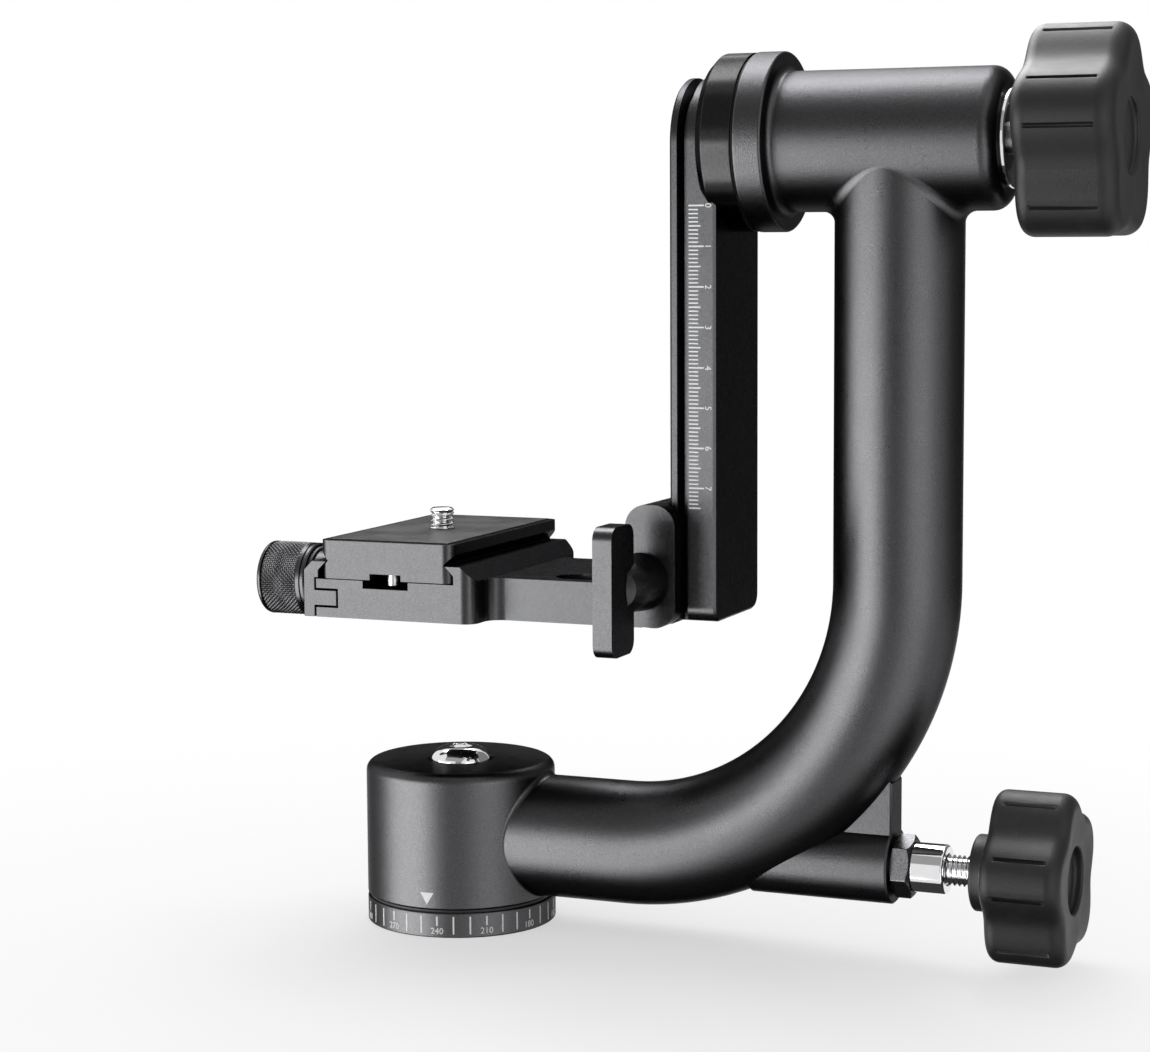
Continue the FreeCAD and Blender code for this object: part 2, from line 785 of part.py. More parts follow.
def tilt_lock():
    bush = Piece("tilt_lock_bush", at=pivot)
    bush.turn("X", [
        (chamber_end, stud_bore), (chamber_end, z.bush_sleeve_radius),
        (barrel_end, z.bush_sleeve_radius), (barrel_end, z.bush_flange_radius),
        (bush_end, z.bush_flange_radius), (bush_end, stud_bore)])
    bush.bevelled(z.ring_bevel, lambda e: is_circle(e, "X", bush_end, z.bush_flange_radius))
    pad_face = axle_end + z.pad_gap
    pad_back = pad_face + z.tilt_pad_width
    pad = Piece("tilt_brake_pad", at=pivot)
    pad.sleeve("X", pad_face, pad_back, 0, z.chamber_radius - z.tilt_pad_inset)
    stud = Piece("tilt_knob_stud", at=pivot)
    stud_end = tilt_knob_end - z.knob_recess_depth
    stud.sleeve("X", pad_back + z.thread_clearance, stud_end, 0, z.stud_radius)


def swing_disc():
    piece = Piece("swing_disc", at=pivot)
    piece.sleeve("X", disc_start, disc_end, 0, z.flange_radius)
    piece.bevelled(z.disc_bevel, lambda e: is_circle(e, "X", disc_start))
    seat = rectangle(-z.rail_half_width, z.rail_half_width, -z.flange_radius, 0)
    piece.cut("YZ", seat, disc_start, rail_end)
    piece.cut("YZ", [(0, 0, z.rail_half_width)], disc_start, rail_end)
    piece.bore("X", disc_end - z.axle_spigot_length, disc_end, z.axle_spigot_radius)
    piece.bore("X", rail_end, disc_end - z.axle_spigot_length, z.rail_bolt_radius)
    for side in (-1, 1):
        spot = (side * z.rail_screw_offset, 0, z.rail_screw_radius)
        piece.cut("YZ", [spot], rail_end, screw_head_end + z.rail_screw_length)
    washer = Piece("swing_washer", at=pivot)
    outer = z.flange_radius - z.swing_washer_inset
    washer.sleeve("X", disc_end, disc_end + z.swing_washer_width, z.swing_washer_bore, outer)


def groove_profile(side):
    # The dovetail groove along one edge of the rail, open at that edge.
    half = z.rail_half_width
    outline = [(lip_end, half), (lip_end + groove_ramp, groove_deep),
               (groove_end - groove_ramp, groove_deep), (groove_end, half)]
    return [(x, side * y) for x, y in outline]


def rail():
    piece = Piece("rail", at=pivot)
    half = z.rail_half_width
    bottom = rail_bottom - z.pivot_height
    piece.block("YZ", rectangle(-half, half, bottom, 0), rail_start, rail_end)
    piece.rounded(z.rail_corner, lambda e: is_straight(e, "X", z=bottom))
    piece.bevelled(z.rail_bevel, lambda e: e.CenterOfMass.z < -1
                   and (in_plane(e, "X", rail_start) or in_plane(e, "X", rail_end)))
    for side in (-1, 1):
        piece.cut("XY", groove_profile(side), bottom, 0)
    edge = half - z.rail_bevel
    front = [(rail_start, 0), (rail_start, edge), (rail_start + z.rail_bevel, half)]
    back = [(rail_end - z.rail_bevel, half), (rail_end, edge), (rail_end, 0)]
    piece.turn("X", front + groove_profile(1) + back)
    piece.bore("X", rail_start, bolt_head_end, z.rail_bolt_head)
    piece.bore("X", bolt_head_end, rail_end, z.rail_bolt_radius)
    for side in (-1, 1):
        offset = side * z.rail_screw_offset
        piece.cut("YZ", [(offset, 0, z.rail_screw_head)], rail_start, screw_head_end)
        piece.cut("YZ", [(offset, 0, z.rail_screw_radius)], screw_head_end, rail_end)
    hole = (0, stop_height - z.pivot_height, z.stop_screw_radius)
    piece.cut("YZ", [hole], rail_start, rail_start + z.stop_screw_depth)


def rail_fasteners():
    bolt = Piece("rail_bolt", at=pivot)
    bolt_end = bolt_head_end + z.rail_bolt_length
    bolt.turn("X", [
        (screw_seat, 0), (screw_seat, z.rail_bolt_head), (bolt_head_end, z.rail_bolt_head),
        (bolt_head_end, z.rail_bolt_radius), (bolt_end, z.rail_bolt_radius), (bolt_end, 0)])
    socket = hexagon(z.rail_bolt_socket)
    bolt.cut("YZ", socket, screw_seat, screw_seat + z.rail_bolt_head_width / 2)
    screw_end = screw_head_end + z.rail_screw_length
    for side, name in ((-1, "front"), (1, "rear")):
        screw = Piece(f"rail_screw_{name}", at=pivot)
        offset = side * z.rail_screw_offset
        screw.block("YZ", [(offset, 0, z.rail_screw_head)], screw_seat, screw_head_end)
        screw.block("YZ", [(offset, 0, z.rail_screw_radius)], screw_head_end, screw_end)
        socket = hexagon(z.rail_screw_socket, middle=(offset, 0))
        screw.cut("YZ", socket, screw_seat, screw_seat + z.rail_screw_head_width / 2)
    stop = Piece("rail_stop_screw", at=(rail_start, 0, stop_height))
    stop.turn("X", [
        (-z.stop_head_width, 0), (-z.stop_head_width, z.stop_head_radius), (0, z.stop_head_radius),
        (0, z.stop_screw_radius), (z.stop_screw_depth, z.stop_screw_radius), (z.stop_screw_depth, 0)])


def pan_lock():
    axis = (0, 0, z.tube_height)
    pad = Piece("pan_brake_pad", at=axis)
    pad.sleeve("X", z.spindle_radius, pad_end, 0, z.pad_radius)
    pad.cut("XY", [(0, 0, pad_start)], -z.pad_radius, z.pad_radius)
    rod = Piece("pan_push_rod", at=axis)
    rod.sleeve("X", pad_end, push_rod_end, 0, z.push_rod_radius)
    stud = Piece("pan_knob_stud", at=axis)
    stud_end = pan_knob_end - z.knob_recess_depth
    stud.sleeve("X", push_rod_end + z.thread_clearance, stud_end, 0, z.stud_radius)


def lobed_knob(label, at, start, end, radius, neck_start, neck_radius, recess, lobe_angle):
    # Five lobes parted by round scallops, each lobe with two fine grooves along it.
    piece = Piece(label, at=at)
    piece.block("YZ", [(0, 0, radius)], start, end)
    between = math.radians(lobe_angle + FULL_TURN / LOBES / 2)
    scallop = z.scallop_share * radius
    middle = radius * (1 - z.scallop_depth) + scallop
    spot = (middle * math.cos(between), middle * math.sin(between), scallop)
    valley = piece.cut("YZ", [spot], start, end)
    piece.repeat([valley], "X_Axis", LOBES)
    piece.rounded(z.lobe_round_share * radius, lambda e: is_straight(e, "X"))
    piece.bevelled(z.knob_bevel, lambda e: in_plane(e, "X", end) or in_plane(e, "X", start))
    piece.block("YZ", [(0, 0, neck_radius)], neck_start, start)
    piece.cut("YZ", [(0, 0, recess)], end - z.knob_recess_depth, end)
    grooves = [lobe_groove(piece, start, end, radius, lobe_angle + side * LOBE_GROOVE_ANGLE)
               for side in (-1, 1)]
    piece.repeat(grooves, "X_Axis", LOBES)
    piece.cut("YZ", [(0, 0, z.stud_radius)], neck_start, end - z.knob_recess_depth)
    return piece


def lobe_groove(piece, start, end, radius, angle):
    # A fine slot in the lobe's crown, which stops short of both ends.
    outward = (math.cos(math.radians(angle)), math.sin(math.radians(angle)))
    across = (-outward[1], outward[0])
    half = z.lobe_groove_width / 2
    floor = radius - z.lobe_groove_depth
    corners = [(floor, -half), (radius * 2, -half), (radius * 2, half), (floor, half)]
    outline = [
        (out * outward[0] + side * across[0], out * outward[1] + side * across[1])
        for out, side in corners]
    return piece.cut("YZ", outline, start + z.lobe_groove_end, end - z.lobe_groove_end)


def knobs():
    lobed_knob("pan_knob", (0, 0, z.tube_height), pan_knob_start, pan_knob_end, z.pan_knob_radius,
               pan_knob_start - z.pan_knob_neck, z.pan_knob_neck_radius, z.pan_knob_recess,
               PAN_LOBE_ANGLE)
    lobed_knob("tilt_knob", pivot, tilt_knob_start, tilt_knob_end, z.tilt_knob_radius,
               tilt_knob_start - z.tilt_knob_neck, z.tilt_knob_neck_radius, z.tilt_knob_recess,
               TILT_LOBE_ANGLE)


def jaw_nose(side):
    # The ridge of a rail jaw, which follows the rail's groove on that side.
    outline = [
        (lip_end + z.slide_gap, jaw_mouth), (lip_end + groove_ramp + z.slide_gap, jaw_inner),
        (groove_end - groove_ramp - z.slide_gap, jaw_inner), (jaw_end, jaw_mouth)]
    return [(x, side * y) for x, y in outline]


def platform_arm():
    piece = Piece("platform_arm")
    half = z.clamp_half_length
    low = z.arm_bottom
    piece.block("XY", rectangle(bed_start, bed_end, -half, half), low, bed_top)
    tip = ridge_in - z.hook_rise
    slope = bed_end - tip - z.ridge_width
    piece.block("XZ", [
        (ridge_in, low), (bed_end, low), (bed_end, ridge_top - slope),
        (tip + z.ridge_width, ridge_top), (tip, ridge_top), (ridge_in, dovetail_low)], -half, half)
    wide = z.arm_half_width
    piece.block("XY", rectangle(bed_end, jaw_foot_start, -wide, wide), low, arm_top)
    piece.rounded(z.clamp_corner, lambda e: is_straight(e, "Z", x=bed_end, y=half)
                  or is_straight(e, "Z", x=bed_end, y=-half))
    piece.rounded(z.arm_step_round, lambda e: is_straight(e, "Z", x=bed_end, y=wide)
                  or is_straight(e, "Z", x=bed_end, y=-wide))
    piece.block("XY", rectangle(jaw_foot_start, cheek_end, -jaw_inner, wide), low, arm_top)
    piece.block("XY", rectangle(cheek_start, cheek_end, -jaw_inner, wide), arm_top, cheek_top)
    piece.block("XY", rectangle(cheek_end, jaw_end, jaw_mouth, wide), low, cheek_top)
    piece.block("XY", jaw_nose(1), low, cheek_top)
    piece.rounded(z.cheek_corner, lambda e: is_straight(e, "Y", x=cheek_start, z=cheek_top))
    trough = rectangle(plate_middle - z.floor_groove_width / 2,
                       plate_middle + z.floor_groove_width / 2, -half, half)
    piece.cut("XY", trough, bed_dip, bed_top)
    rise = z.tongue_height / 2 + z.jaw_gap
    tongue_way = rectangle(bed_start, tongue_end + z.jaw_gap,
                           plate_screw_height - rise, plate_screw_height + rise)
    piece.cut("XZ", tongue_way, -half, half)
    bore = z.plate_screw_radius + z.thread_clearance
    piece.cut("YZ", [(0, plate_screw_height, bore)], bed_start, plate_screw_tip + bore)
    lightening_slot(piece)
    screw = z.clamp_screw_radius + z.thread_clearance
    piece.cut("XZ", [(*clamp_screw, screw)], -jaw_inner, z.clamp_screw_tip + screw)
    for spot in guide_pin_spots():
        piece.cut("XZ", [(*spot, z.guide_pin_radius)], -jaw_inner, z.guide_pin_end)


def lightening_slot(piece):
    # The round-ended slot through the arm, beside its front edge.
    half = z.slot_half_width
    right = jaw_foot_start - z.slot_inset - half
    left = right - z.slot_length + half * 2
    low, high = z.slot_middle - half, z.slot_middle + half
    piece.cut("XY", rectangle(left, right, low, high), z.arm_bottom, arm_top)
    for x in (left, right):
        piece.cut("XY", [(x, z.slot_middle, half)], z.arm_bottom, arm_top)


def guide_pin_spots():
    across, height = clamp_screw
    return [(across, height + side * z.guide_pin_spread) for side in (-1, 1)]


def jaw_side(foot_start, end):
    # The front jaw seen from the viewer: a foot on the arm and an upright cheek.
    return [
        (foot_start, z.arm_bottom), (end, z.arm_bottom), (end, cheek_top),
        (cheek_start, cheek_top), (cheek_start, arm_top), (foot_start, arm_top)]


def rail_jaw():
    piece = Piece("rail_jaw")
    front = -z.arm_half_width
    inner = -(jaw_inner + z.slide_gap)
    foot_start = jaw_foot_start + z.slide_gap
    piece.block("XZ", jaw_side(foot_start, jaw_end), front, -jaw_mouth)
    piece.block("XZ", jaw_side(foot_start, cheek_end), -jaw_mouth, inner)
    piece.block("XY", jaw_nose(-1), z.arm_bottom, cheek_top)
    piece.rounded(z.cheek_corner, lambda e: is_straight(e, "Y", x=cheek_start, z=cheek_top)
                  or is_straight(e, "Y", x=jaw_end, z=cheek_top)
                  or is_straight(e, "Y", x=jaw_end, z=z.arm_bottom))
    piece.cut("XZ", [(*clamp_screw, z.clamp_screw_radius + z.pin_clearance)], front, inner)
    for spot in guide_pin_spots():
        piece.cut("XZ", [(*spot, z.guide_pin_radius + z.pin_clearance)], z.guide_pin_start, inner)


def guide_pins():
    for (across, height), name in zip(guide_pin_spots(), ("lower", "upper")):
        piece = Piece(f"guide_pin_{name}", at=(across, 0, height))
        piece.sleeve("Y", z.guide_pin_start + z.slide_gap, z.guide_pin_end, 0, z.guide_pin_radius)


def rail_handle():
    across, height = clamp_screw
    at = (across, 0, height)
    base = -(z.arm_half_width + z.slide_gap)
    shoulder = base - z.hub_straight
    tip = shoulder - z.hub_end_radius
    share = z.hub_end_round * (1 - 1 / math.sqrt(2))
    piece = Piece("rail_handle", at=at)
    piece.turn("Y", [
        (base, 0), (base, z.hub_radius), (shoulder, z.hub_end_radius),
        (tip + share, z.hub_end_radius - share), (tip, z.hub_end_radius - z.hub_end_round), (tip, 0)])
    half = z.blade_height / 2
    near_side = base - z.blade_start
    far_side = near_side - z.blade_depth
    blade = rectangle(far_side, near_side, -half, half)
    piece.block("YZ", blade, -z.blade_thickness / 2, z.blade_thickness / 2)
    piece.rounded(z.blade_corner, lambda e: is_straight(e, "X"))
    piece.cut("XZ", [(0, 0, z.clamp_screw_radius)], shoulder, base)
    screw = Piece("rail_clamp_screw", at=at)
    screw.sleeve("Y", shoulder, z.clamp_screw_tip, 0, z.clamp_screw_radius)


def plate_jaw():
    piece = Piece("plate_jaw")
    half = z.clamp_half_length
    hook_in = plate_start - z.slide_gap
    tip = hook_in + z.hook_rise
    step = bed_top + z.slide_gap
    low = plate_screw_height - z.tongue_height / 2
    high = plate_screw_height + z.tongue_height / 2
    piece.block("XZ", [
        (jaw_outside, z.arm_bottom), (jaw_inside, z.arm_bottom), (jaw_inside, low),
        (tongue_end, low), (tongue_end, high), (jaw_inside, high), (jaw_inside, step),
        (hook_in, step), (hook_in, dovetail_low), (tip, ridge_top),
        (jaw_outside + z.jaw_bevel, ridge_top), (jaw_outside, ridge_top - z.jaw_bevel)], -half, half)
    piece.block("YZ", [(0, plate_screw_height, z.jaw_boss_radius)], jaw_boss_start, jaw_outside)
    hole = z.plate_screw_radius + z.pin_clearance
    piece.cut("YZ", [(0, plate_screw_height, hole)], jaw_boss_start, tongue_end)


def plate_knob():
    at = (jaw_boss_start, 0, plate_screw_height)
    washer_start = -(z.slide_gap + z.knob_washer_width)
    washer = Piece("plate_knob_washer", at=at)
    washer.sleeve("X", washer_start, -z.slide_gap, z.plate_screw_radius, z.knob_washer_radius)
    knob = Piece("plate_knob", at=at)
    knob_start = washer_start - z.knurl_length
    knob.sleeve("X", knob_start, washer_start, 0, z.knurl_radius)
    knob.bevelled(z.knurl_bevel, lambda e: is_circle(e, "X"))
    knob.bore("X", knob_start + z.knob_end_wall, washer_start, z.plate_screw_radius)
    screw = Piece("plate_knob_screw", at=at)
    tip = plate_screw_tip - jaw_boss_start
    screw.sleeve("X", knob_start + z.knob_end_wall, tip, 0, z.plate_screw_radius)


def quick_release_plate():
    piece = Piece("release_plate")
    half = z.clamp_half_length
    piece.block("XY", rectangle(plate_start, plate_end, -half, half), plate_foot, plate_top)
    piece.rounded(z.plate_corner, lambda e: is_straight(e, "Z"))
    waist = dovetail_low + z.dovetail_depth
    shoulder = waist + z.dovetail_depth
    for side, inward in ((plate_start, z.dovetail_depth), (plate_end, -z.dovetail_depth)):
        piece.cut("XZ", [(side, dovetail_low), (side + inward, waist), (side, shoulder)], -half, half)
    slot = z.plate_slot_half_width
    way = rectangle(plate_middle - slot, plate_middle + slot, -half, half)
    piece.cut("XY", way, plate_foot, plate_foot + z.plate_slot_depth)
    margin = z.pad_margin
    bed = rectangle(plate_start + margin, plate_end - margin, margin - half, half - margin)
    piece.cut("XY", bed, pad_floor, plate_top)
    head = (plate_middle, 0, z.camera_head_radius + z.camera_head_clearance)
    piece.cut("XY", [head], plate_foot, camera_head_top)
    hole = (plate_middle, 0, z.camera_screw_radius + z.camera_hole_clearance)
    piece.cut("XY", [hole], camera_head_top, pad_floor)
    for side in (-1, 1):
        spot = (plate_middle, side * z.plate_stop_spread, z.plate_stop_radius)
        piece.cut("XY", [spot], plate_foot, stop_top)
    pad = Piece("plate_pad")
    pad.block("XY", bed, pad_floor, pad_floor + z.pad_thickness)
    pad.cut("XY", [hole], pad_floor, pad_floor + z.pad_thickness)


def plate_screws():
    for side, name in ((-1, "front"), (1, "rear")):
        spot = (plate_middle, side * z.plate_stop_spread, 0)
        stop = Piece(f"plate_stop_screw_{name}", at=spot)
        stop.sleeve("Z", stop_foot, stop_top, 0, z.plate_stop_radius)
    screw = Piece("camera_screw", at=(plate_middle, 0, 0))
    thread_foot = pad_floor + z.pad_thickness + z.camera_neck_gap
    top = plate_top + z.camera_screw_reach
    screw.turn("Z", [
        (camera_head_low, 0), (camera_head_low, z.camera_head_radius),
        (camera_head_high, z.camera_head_radius), (camera_head_high, z.camera_neck_radius),
        (thread_foot, z.camera_neck_radius), (thread_foot, z.camera_screw_radius),
        (top, z.camera_screw_radius), (top, 0)])


def check_document():
    doc.recompute()
    faults = [item.Name for item in doc.Objects if {"Invalid", "Error"} & set(item.State)]
    if faults:
        raise RuntimeError(f"failed features: {faults}")
    for item in doc.Objects:
        if item.TypeId in ("PartDesign::Pocket", "PartDesign::Groove") and item.BaseFeature:
            if item.Shape.Volume > item.BaseFeature.Shape.Volume - 1e-6:
                raise RuntimeError(f"{item.Name} cuts nothing")
    for node in nodes:
        if node.Shape.isNull() or not node.Shape.isValid():
            raise RuntimeError(f"{node.Label}: no valid shape")


def write_parts():
    os.makedirs("parts", exist_ok=True)
    for node in nodes:
        node.Shape.exportStep(f"parts/{node.Label}.step")
        box = node.Shape.BoundBox
        print(f"{node.Label}: {len(node.Shape.Solids)} solid, {node.Shape.Volume:.1f} mm3, "
              f"x {box.XMin:.1f} {box.XMax:.1f}, y {box.YMin:.1f} {box.YMax:.1f}, "
              f"z {box.ZMin:.1f} {box.ZMax:.1f}")


base_plate()
tripod_insert()
dial_washer()
pan_bearings()
pan_drum()
pan_spacer()
axle_screw()
pan_housing()
lock_boss(bent_tube())
lock_nut()
pivot_barrel()
swing_bearings()
swing_axle()
tilt_lock()
swing_disc()
rail()
rail_fasteners()
pan_lock()
knobs()
platform_arm()
rail_jaw()
guide_pins()
rail_handle()
plate_jaw()
plate_knob()
quick_release_plate()
plate_screws()
check_document()
write_parts()
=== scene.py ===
import json
import math
import bmesh
import bpy
import numpy as np
from mathutils import Matrix, Vector


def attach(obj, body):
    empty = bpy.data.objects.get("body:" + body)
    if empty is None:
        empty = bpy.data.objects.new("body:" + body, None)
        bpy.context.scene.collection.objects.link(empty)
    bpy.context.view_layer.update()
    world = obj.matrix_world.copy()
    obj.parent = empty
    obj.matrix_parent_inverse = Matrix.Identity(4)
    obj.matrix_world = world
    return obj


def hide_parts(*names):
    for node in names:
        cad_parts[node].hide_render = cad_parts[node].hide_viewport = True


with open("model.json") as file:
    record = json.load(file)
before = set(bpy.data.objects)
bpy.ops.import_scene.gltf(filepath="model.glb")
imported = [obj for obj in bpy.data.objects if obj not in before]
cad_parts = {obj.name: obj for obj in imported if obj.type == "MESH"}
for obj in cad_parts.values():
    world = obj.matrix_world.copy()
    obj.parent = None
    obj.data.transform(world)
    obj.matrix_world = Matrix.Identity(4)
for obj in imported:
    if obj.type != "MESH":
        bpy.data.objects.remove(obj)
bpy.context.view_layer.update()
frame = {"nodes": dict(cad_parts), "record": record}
print("frame loaded,", len(frame["nodes"]), "nodes")

mm = 0.001
fullTurn = 2 * math.pi

# Sizes in mm that several pieces share

drumRadius = 25.2
tubeRadius = 16.0
barrelRadius = 17.4
tubeHeight = 24.0
mastReach = 120.8
swingHeight = 204.8


# Meshes from grids of points

def gridFaces(rows, columns, closedRows):
    # Quads between neighbouring points of a grid whose columns close on themselves.
    i = np.arange(rows if closedRows else rows - 1)[:, None]
    j = np.arange(columns)[None, :]
    nextRow, nextColumn = (i + 1) % rows, (j + 1) % columns
    quads = np.stack([i * columns + j, i * columns + nextColumn,
                      nextRow * columns + nextColumn, nextRow * columns + j], -1)
    return quads.reshape(-1, 4)


def showMesh(name, mesh):
    piece = bpy.data.objects.new(name, mesh)
    bpy.context.collection.objects.link(piece)
    return piece


def pieceFrom(name, points, faces, sharp=35.0, weld=0.0005):
    # points in mm; doubled points at poles and seams are merged and all faces turned outwards.
    mesh = bpy.data.meshes.new(name)
    quads = faces.tolist() if isinstance(faces, np.ndarray) else faces
    mesh.from_pydata((np.asarray(points).reshape(-1, 3) * mm).tolist(), [], quads)
    work = bmesh.new()
    work.from_mesh(mesh)
    bmesh.ops.remove_doubles(work, verts=work.verts, dist=weld * mm)
    bmesh.ops.dissolve_degenerate(work, dist=weld * mm * 0.5, edges=work.edges)
    bmesh.ops.recalc_face_normals(work, faces=work.faces)
    work.to_mesh(mesh)
    work.free()
    mesh.shade_smooth()
    mesh.set_sharp_from_angle(angle=math.radians(sharp))
    return showMesh(name, mesh)


def gridPiece(name, grid, closedRows=False, sharp=35.0):
    return pieceFrom(name, grid, gridFaces(grid.shape[0], grid.shape[1], closedRows), sharp)


def evenShading(piece):
    # Large faces set the normals at the points that they share with narrow ones.
    weights = piece.modifiers.new("even shading", "WEIGHTED_NORMAL")
    weights.keep_sharp = True
    weights.weight = 50
    return piece


def finishPiece(piece, body, material, stoodFor=()):
    piece.data.materials.clear()
    piece.data.materials.append(material)
    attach(piece, body)
    if stoodFor:
        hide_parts(*stoodFor)
    return piece


def roundCorners(outline, steps=6):
    # Each corner (along, out, radius) becomes an arc that touches both of its sides.
    # The corner's tangent length is radius times tan of half the turn, and it is kept under
    # half of the shorter side.
    spots = [np.array(entry[:2], float) for entry in outline]
    sizes = [entry[2] if len(entry) > 2 else 0.0 for entry in outline]
    rounded = []
    for i, (spot, size) in enumerate(zip(spots, sizes)):
        if size == 0 or i in (0, len(spots) - 1):
            rounded.append(spot)
            continue
        before, after = spots[i - 1] - spot, spots[i + 1] - spot
        reachBefore, reachAfter = np.linalg.norm(before), np.linalg.norm(after)
        before, after = before / reachBefore, after / reachAfter
        opening = math.acos(np.clip(before @ after, -1, 1))
        tangent = min(size / math.tan(opening / 2), 0.499 * min(reachBefore, reachAfter))
        radius = tangent * math.tan(opening / 2)
        inward = (before + after) / np.linalg.norm(before + after)
        middle = spot + inward * radius / math.sin(opening / 2)
        first, last = spot + before * tangent - middle, spot + after * tangent - middle
        swing = math.pi - opening
        share = np.linspace(0, 1, steps + 1)[:, None]
        arc = (np.sin((1 - share) * swing) * first + np.sin(share * swing) * last) / math.sin(swing)
        rounded.extend(middle + arc)
    return np.array(rounded)


def turnSteps(columns):
    return np.linspace(0, fullTurn, columns, endpoint=False)


def turned(profile, columns, axis, at):
    # At angle t a profile's point (along, out) lies at out cos t and out sin t across the axis.
    along, out = profile[:, 0][:, None], profile[:, 1][:, None]
    angle = turnSteps(columns)[None, :]
    a, b, c = along + 0 * angle, out * np.cos(angle), out * np.sin(angle)
    grid = np.stack([a, b, c] if axis == "x" else [b, c, a], -1)
    return grid + np.array(at, float)


def lathe(name, outline, axis="x", at=(0, 0, 0), columns=144, closed=False, steps=6, sharp=35.0):
    grid = turned(roundCorners(outline, steps), columns, axis, at)
    return evenShading(gridPiece(name, grid, closed, sharp))


def aroundX(along, reach, angle, height):
    # Rings across X whose middle lies at the given height.
    return np.stack([along, reach * np.cos(angle), height + reach * np.sin(angle)], -1)


def withEnds(before, along, reach, after):
    # A patterned surface's rows between plain rings, each ring given as (along, out).
    plain = np.ones((1, reach.shape[1]))
    return [np.concatenate([plain * ring[index] for ring in before] + [pattern]
                           + [plain * ring[index] for ring in after], 0)
            for index, pattern in enumerate((along + 0 * reach, reach))]


def hexagonReach(angle, flats, turn=0.0):
    # Half the flats over the cosine of the angle to the nearest flat's middle.
    sixth = fullTurn / 6
    return flats / 2 / np.cos((angle + turn + sixth / 2) % sixth - sixth / 2)


def softened(name, node, width, segments=3, angle=32.0, flat=0.6):
    # A merged copy of a CAD node: coplanar triangles are joined and edges get a small round.
    mesh = frame["nodes"][node].data.copy()
    mesh.name = name
    work = bmesh.new()
    work.from_mesh(mesh)
    bmesh.ops.remove_doubles(work, verts=work.verts, dist=0.002 * mm)
    bmesh.ops.dissolve_limit(work, angle_limit=math.radians(flat), use_dissolve_boundaries=False,
                             verts=work.verts, edges=work.edges)
    work.to_mesh(mesh)
    work.free()
    if "custom_normal" in mesh.attributes:
        mesh.attributes.remove(mesh.attributes["custom_normal"])
    mesh.shade_smooth()
    mesh.set_sharp_from_angle(angle=math.radians(angle))
    piece = showMesh(name, mesh)
    if width:
        edge = piece.modifiers.new("edge", "BEVEL")
        edge.width = width * mm
        edge.segments = segments
        edge.limit_method = "ANGLE"
        edge.angle_limit = math.radians(angle)
        edge.use_clamp_overlap = True
        edge.harden_normals = True
        edge.miter_outer = "MITER_ARC"
    return evenShading(piece)


# Shader maths

class Wire:
    # A node's output that can be added, subtracted and multiplied like a number.
    def __init__(self, graph, socket):
        self.graph, self.socket = graph, socket

    def maths(self, operation, first, second=0.0):
        return self.graph.add("Math", {"operation": operation}, {0: first, 1: second})

    def __add__(self, other):
        return self.maths("ADD", self, other)

    __radd__ = __add__

    def __sub__(self, other):
        return self.maths("SUBTRACT", self, other)

    def __rsub__(self, other):
        return self.maths("SUBTRACT", other, self)

    def __mul__(self, other):
        return self.maths("MULTIPLY", self, other)

    __rmul__ = __mul__

    def most(self, other):
        return self.maths("MAXIMUM", self, other)

    def ramp(self, low, high):
        return self.graph.add("MapRange", {"interpolation_type": "SMOOTHSTEP", "clamp": True},
                              {"Value": self, "From Min": low, "From Max": high})


class Graph:
    # The node tree of a material or of the world.
    def __init__(self, tree):
        self.tree = tree
        tree.nodes.clear()

    def add(self, kind, settings=None, values=None, output=0):
        node = self.tree.nodes.new("ShaderNode" + kind)
        for key, value in (settings or {}).items():
            setattr(node, key, value)
        for key, value in (values or {}).items():
            if isinstance(value, Wire):
                self.tree.links.new(value.socket, node.inputs[key])
            else:
                node.inputs[key].default_value = value
        return Wire(self, node.outputs[output]) if node.outputs else None

    def place(self):
        # The shaded point in the piece's own frame.
        return self.add("TexCoord", output=3)

    def seen(self):
        # One for rays from the camera, off a glossy surface or through a clear one.
        camera, glossy, through = (self.add("LightPath", output=index) for index in (0, 3, 6))
        return camera.most(glossy).most(through)

    def principled(self, values):
        self.finish(self.add("BsdfPrincipled", None, values))

    def finish(self, shader, target="OutputMaterial"):
        self.add(target, None, {"Surface": shader})


def newGraph(name):
    material = bpy.data.materials.new(name)
    material.use_nodes = True
    return material, Graph(material.node_tree)


def grey(value, blue=1.0):
    return (value, value, value * blue, 1.0)


def mixColour(graph, factor, first, second):
    return graph.add("Mix", {"data_type": "RGBA"}, {0: factor, 6: first, 7: second}, output=2)


def noise(graph, place, grain, detail=2.0, rough=0.5):
    # grain is the size in mm of one patch of the noise.
    return graph.add("TexNoise", {"noise_dimensions": "3D"},
                     {"Vector": place, "Scale": 1 / (grain * mm), "Detail": detail,
                      "Roughness": rough})


coatedMetal = {
    "colour": 0.072, "blue": 1.04, "edgeTint": 0.38, "roughness": 0.29, "grain": 0.34,
    "grainDepth": 0.010, "patch": 7.0, "patchShare": 0.04}
milledMetal = {
    "colour": 0.060, "blue": 1.04, "edgeTint": 0.34, "roughness": 0.27, "grain": 0.22,
    "grainDepth": 0.004, "patch": 5.0, "patchShare": 0.04}
polishedBlack = {
    "colour": 0.030, "blue": 1.0, "edgeTint": 0.4, "roughness": 0.19, "grain": 0.5,
    "grainDepth": 0.0003, "patch": 6.0, "patchShare": 0.03}


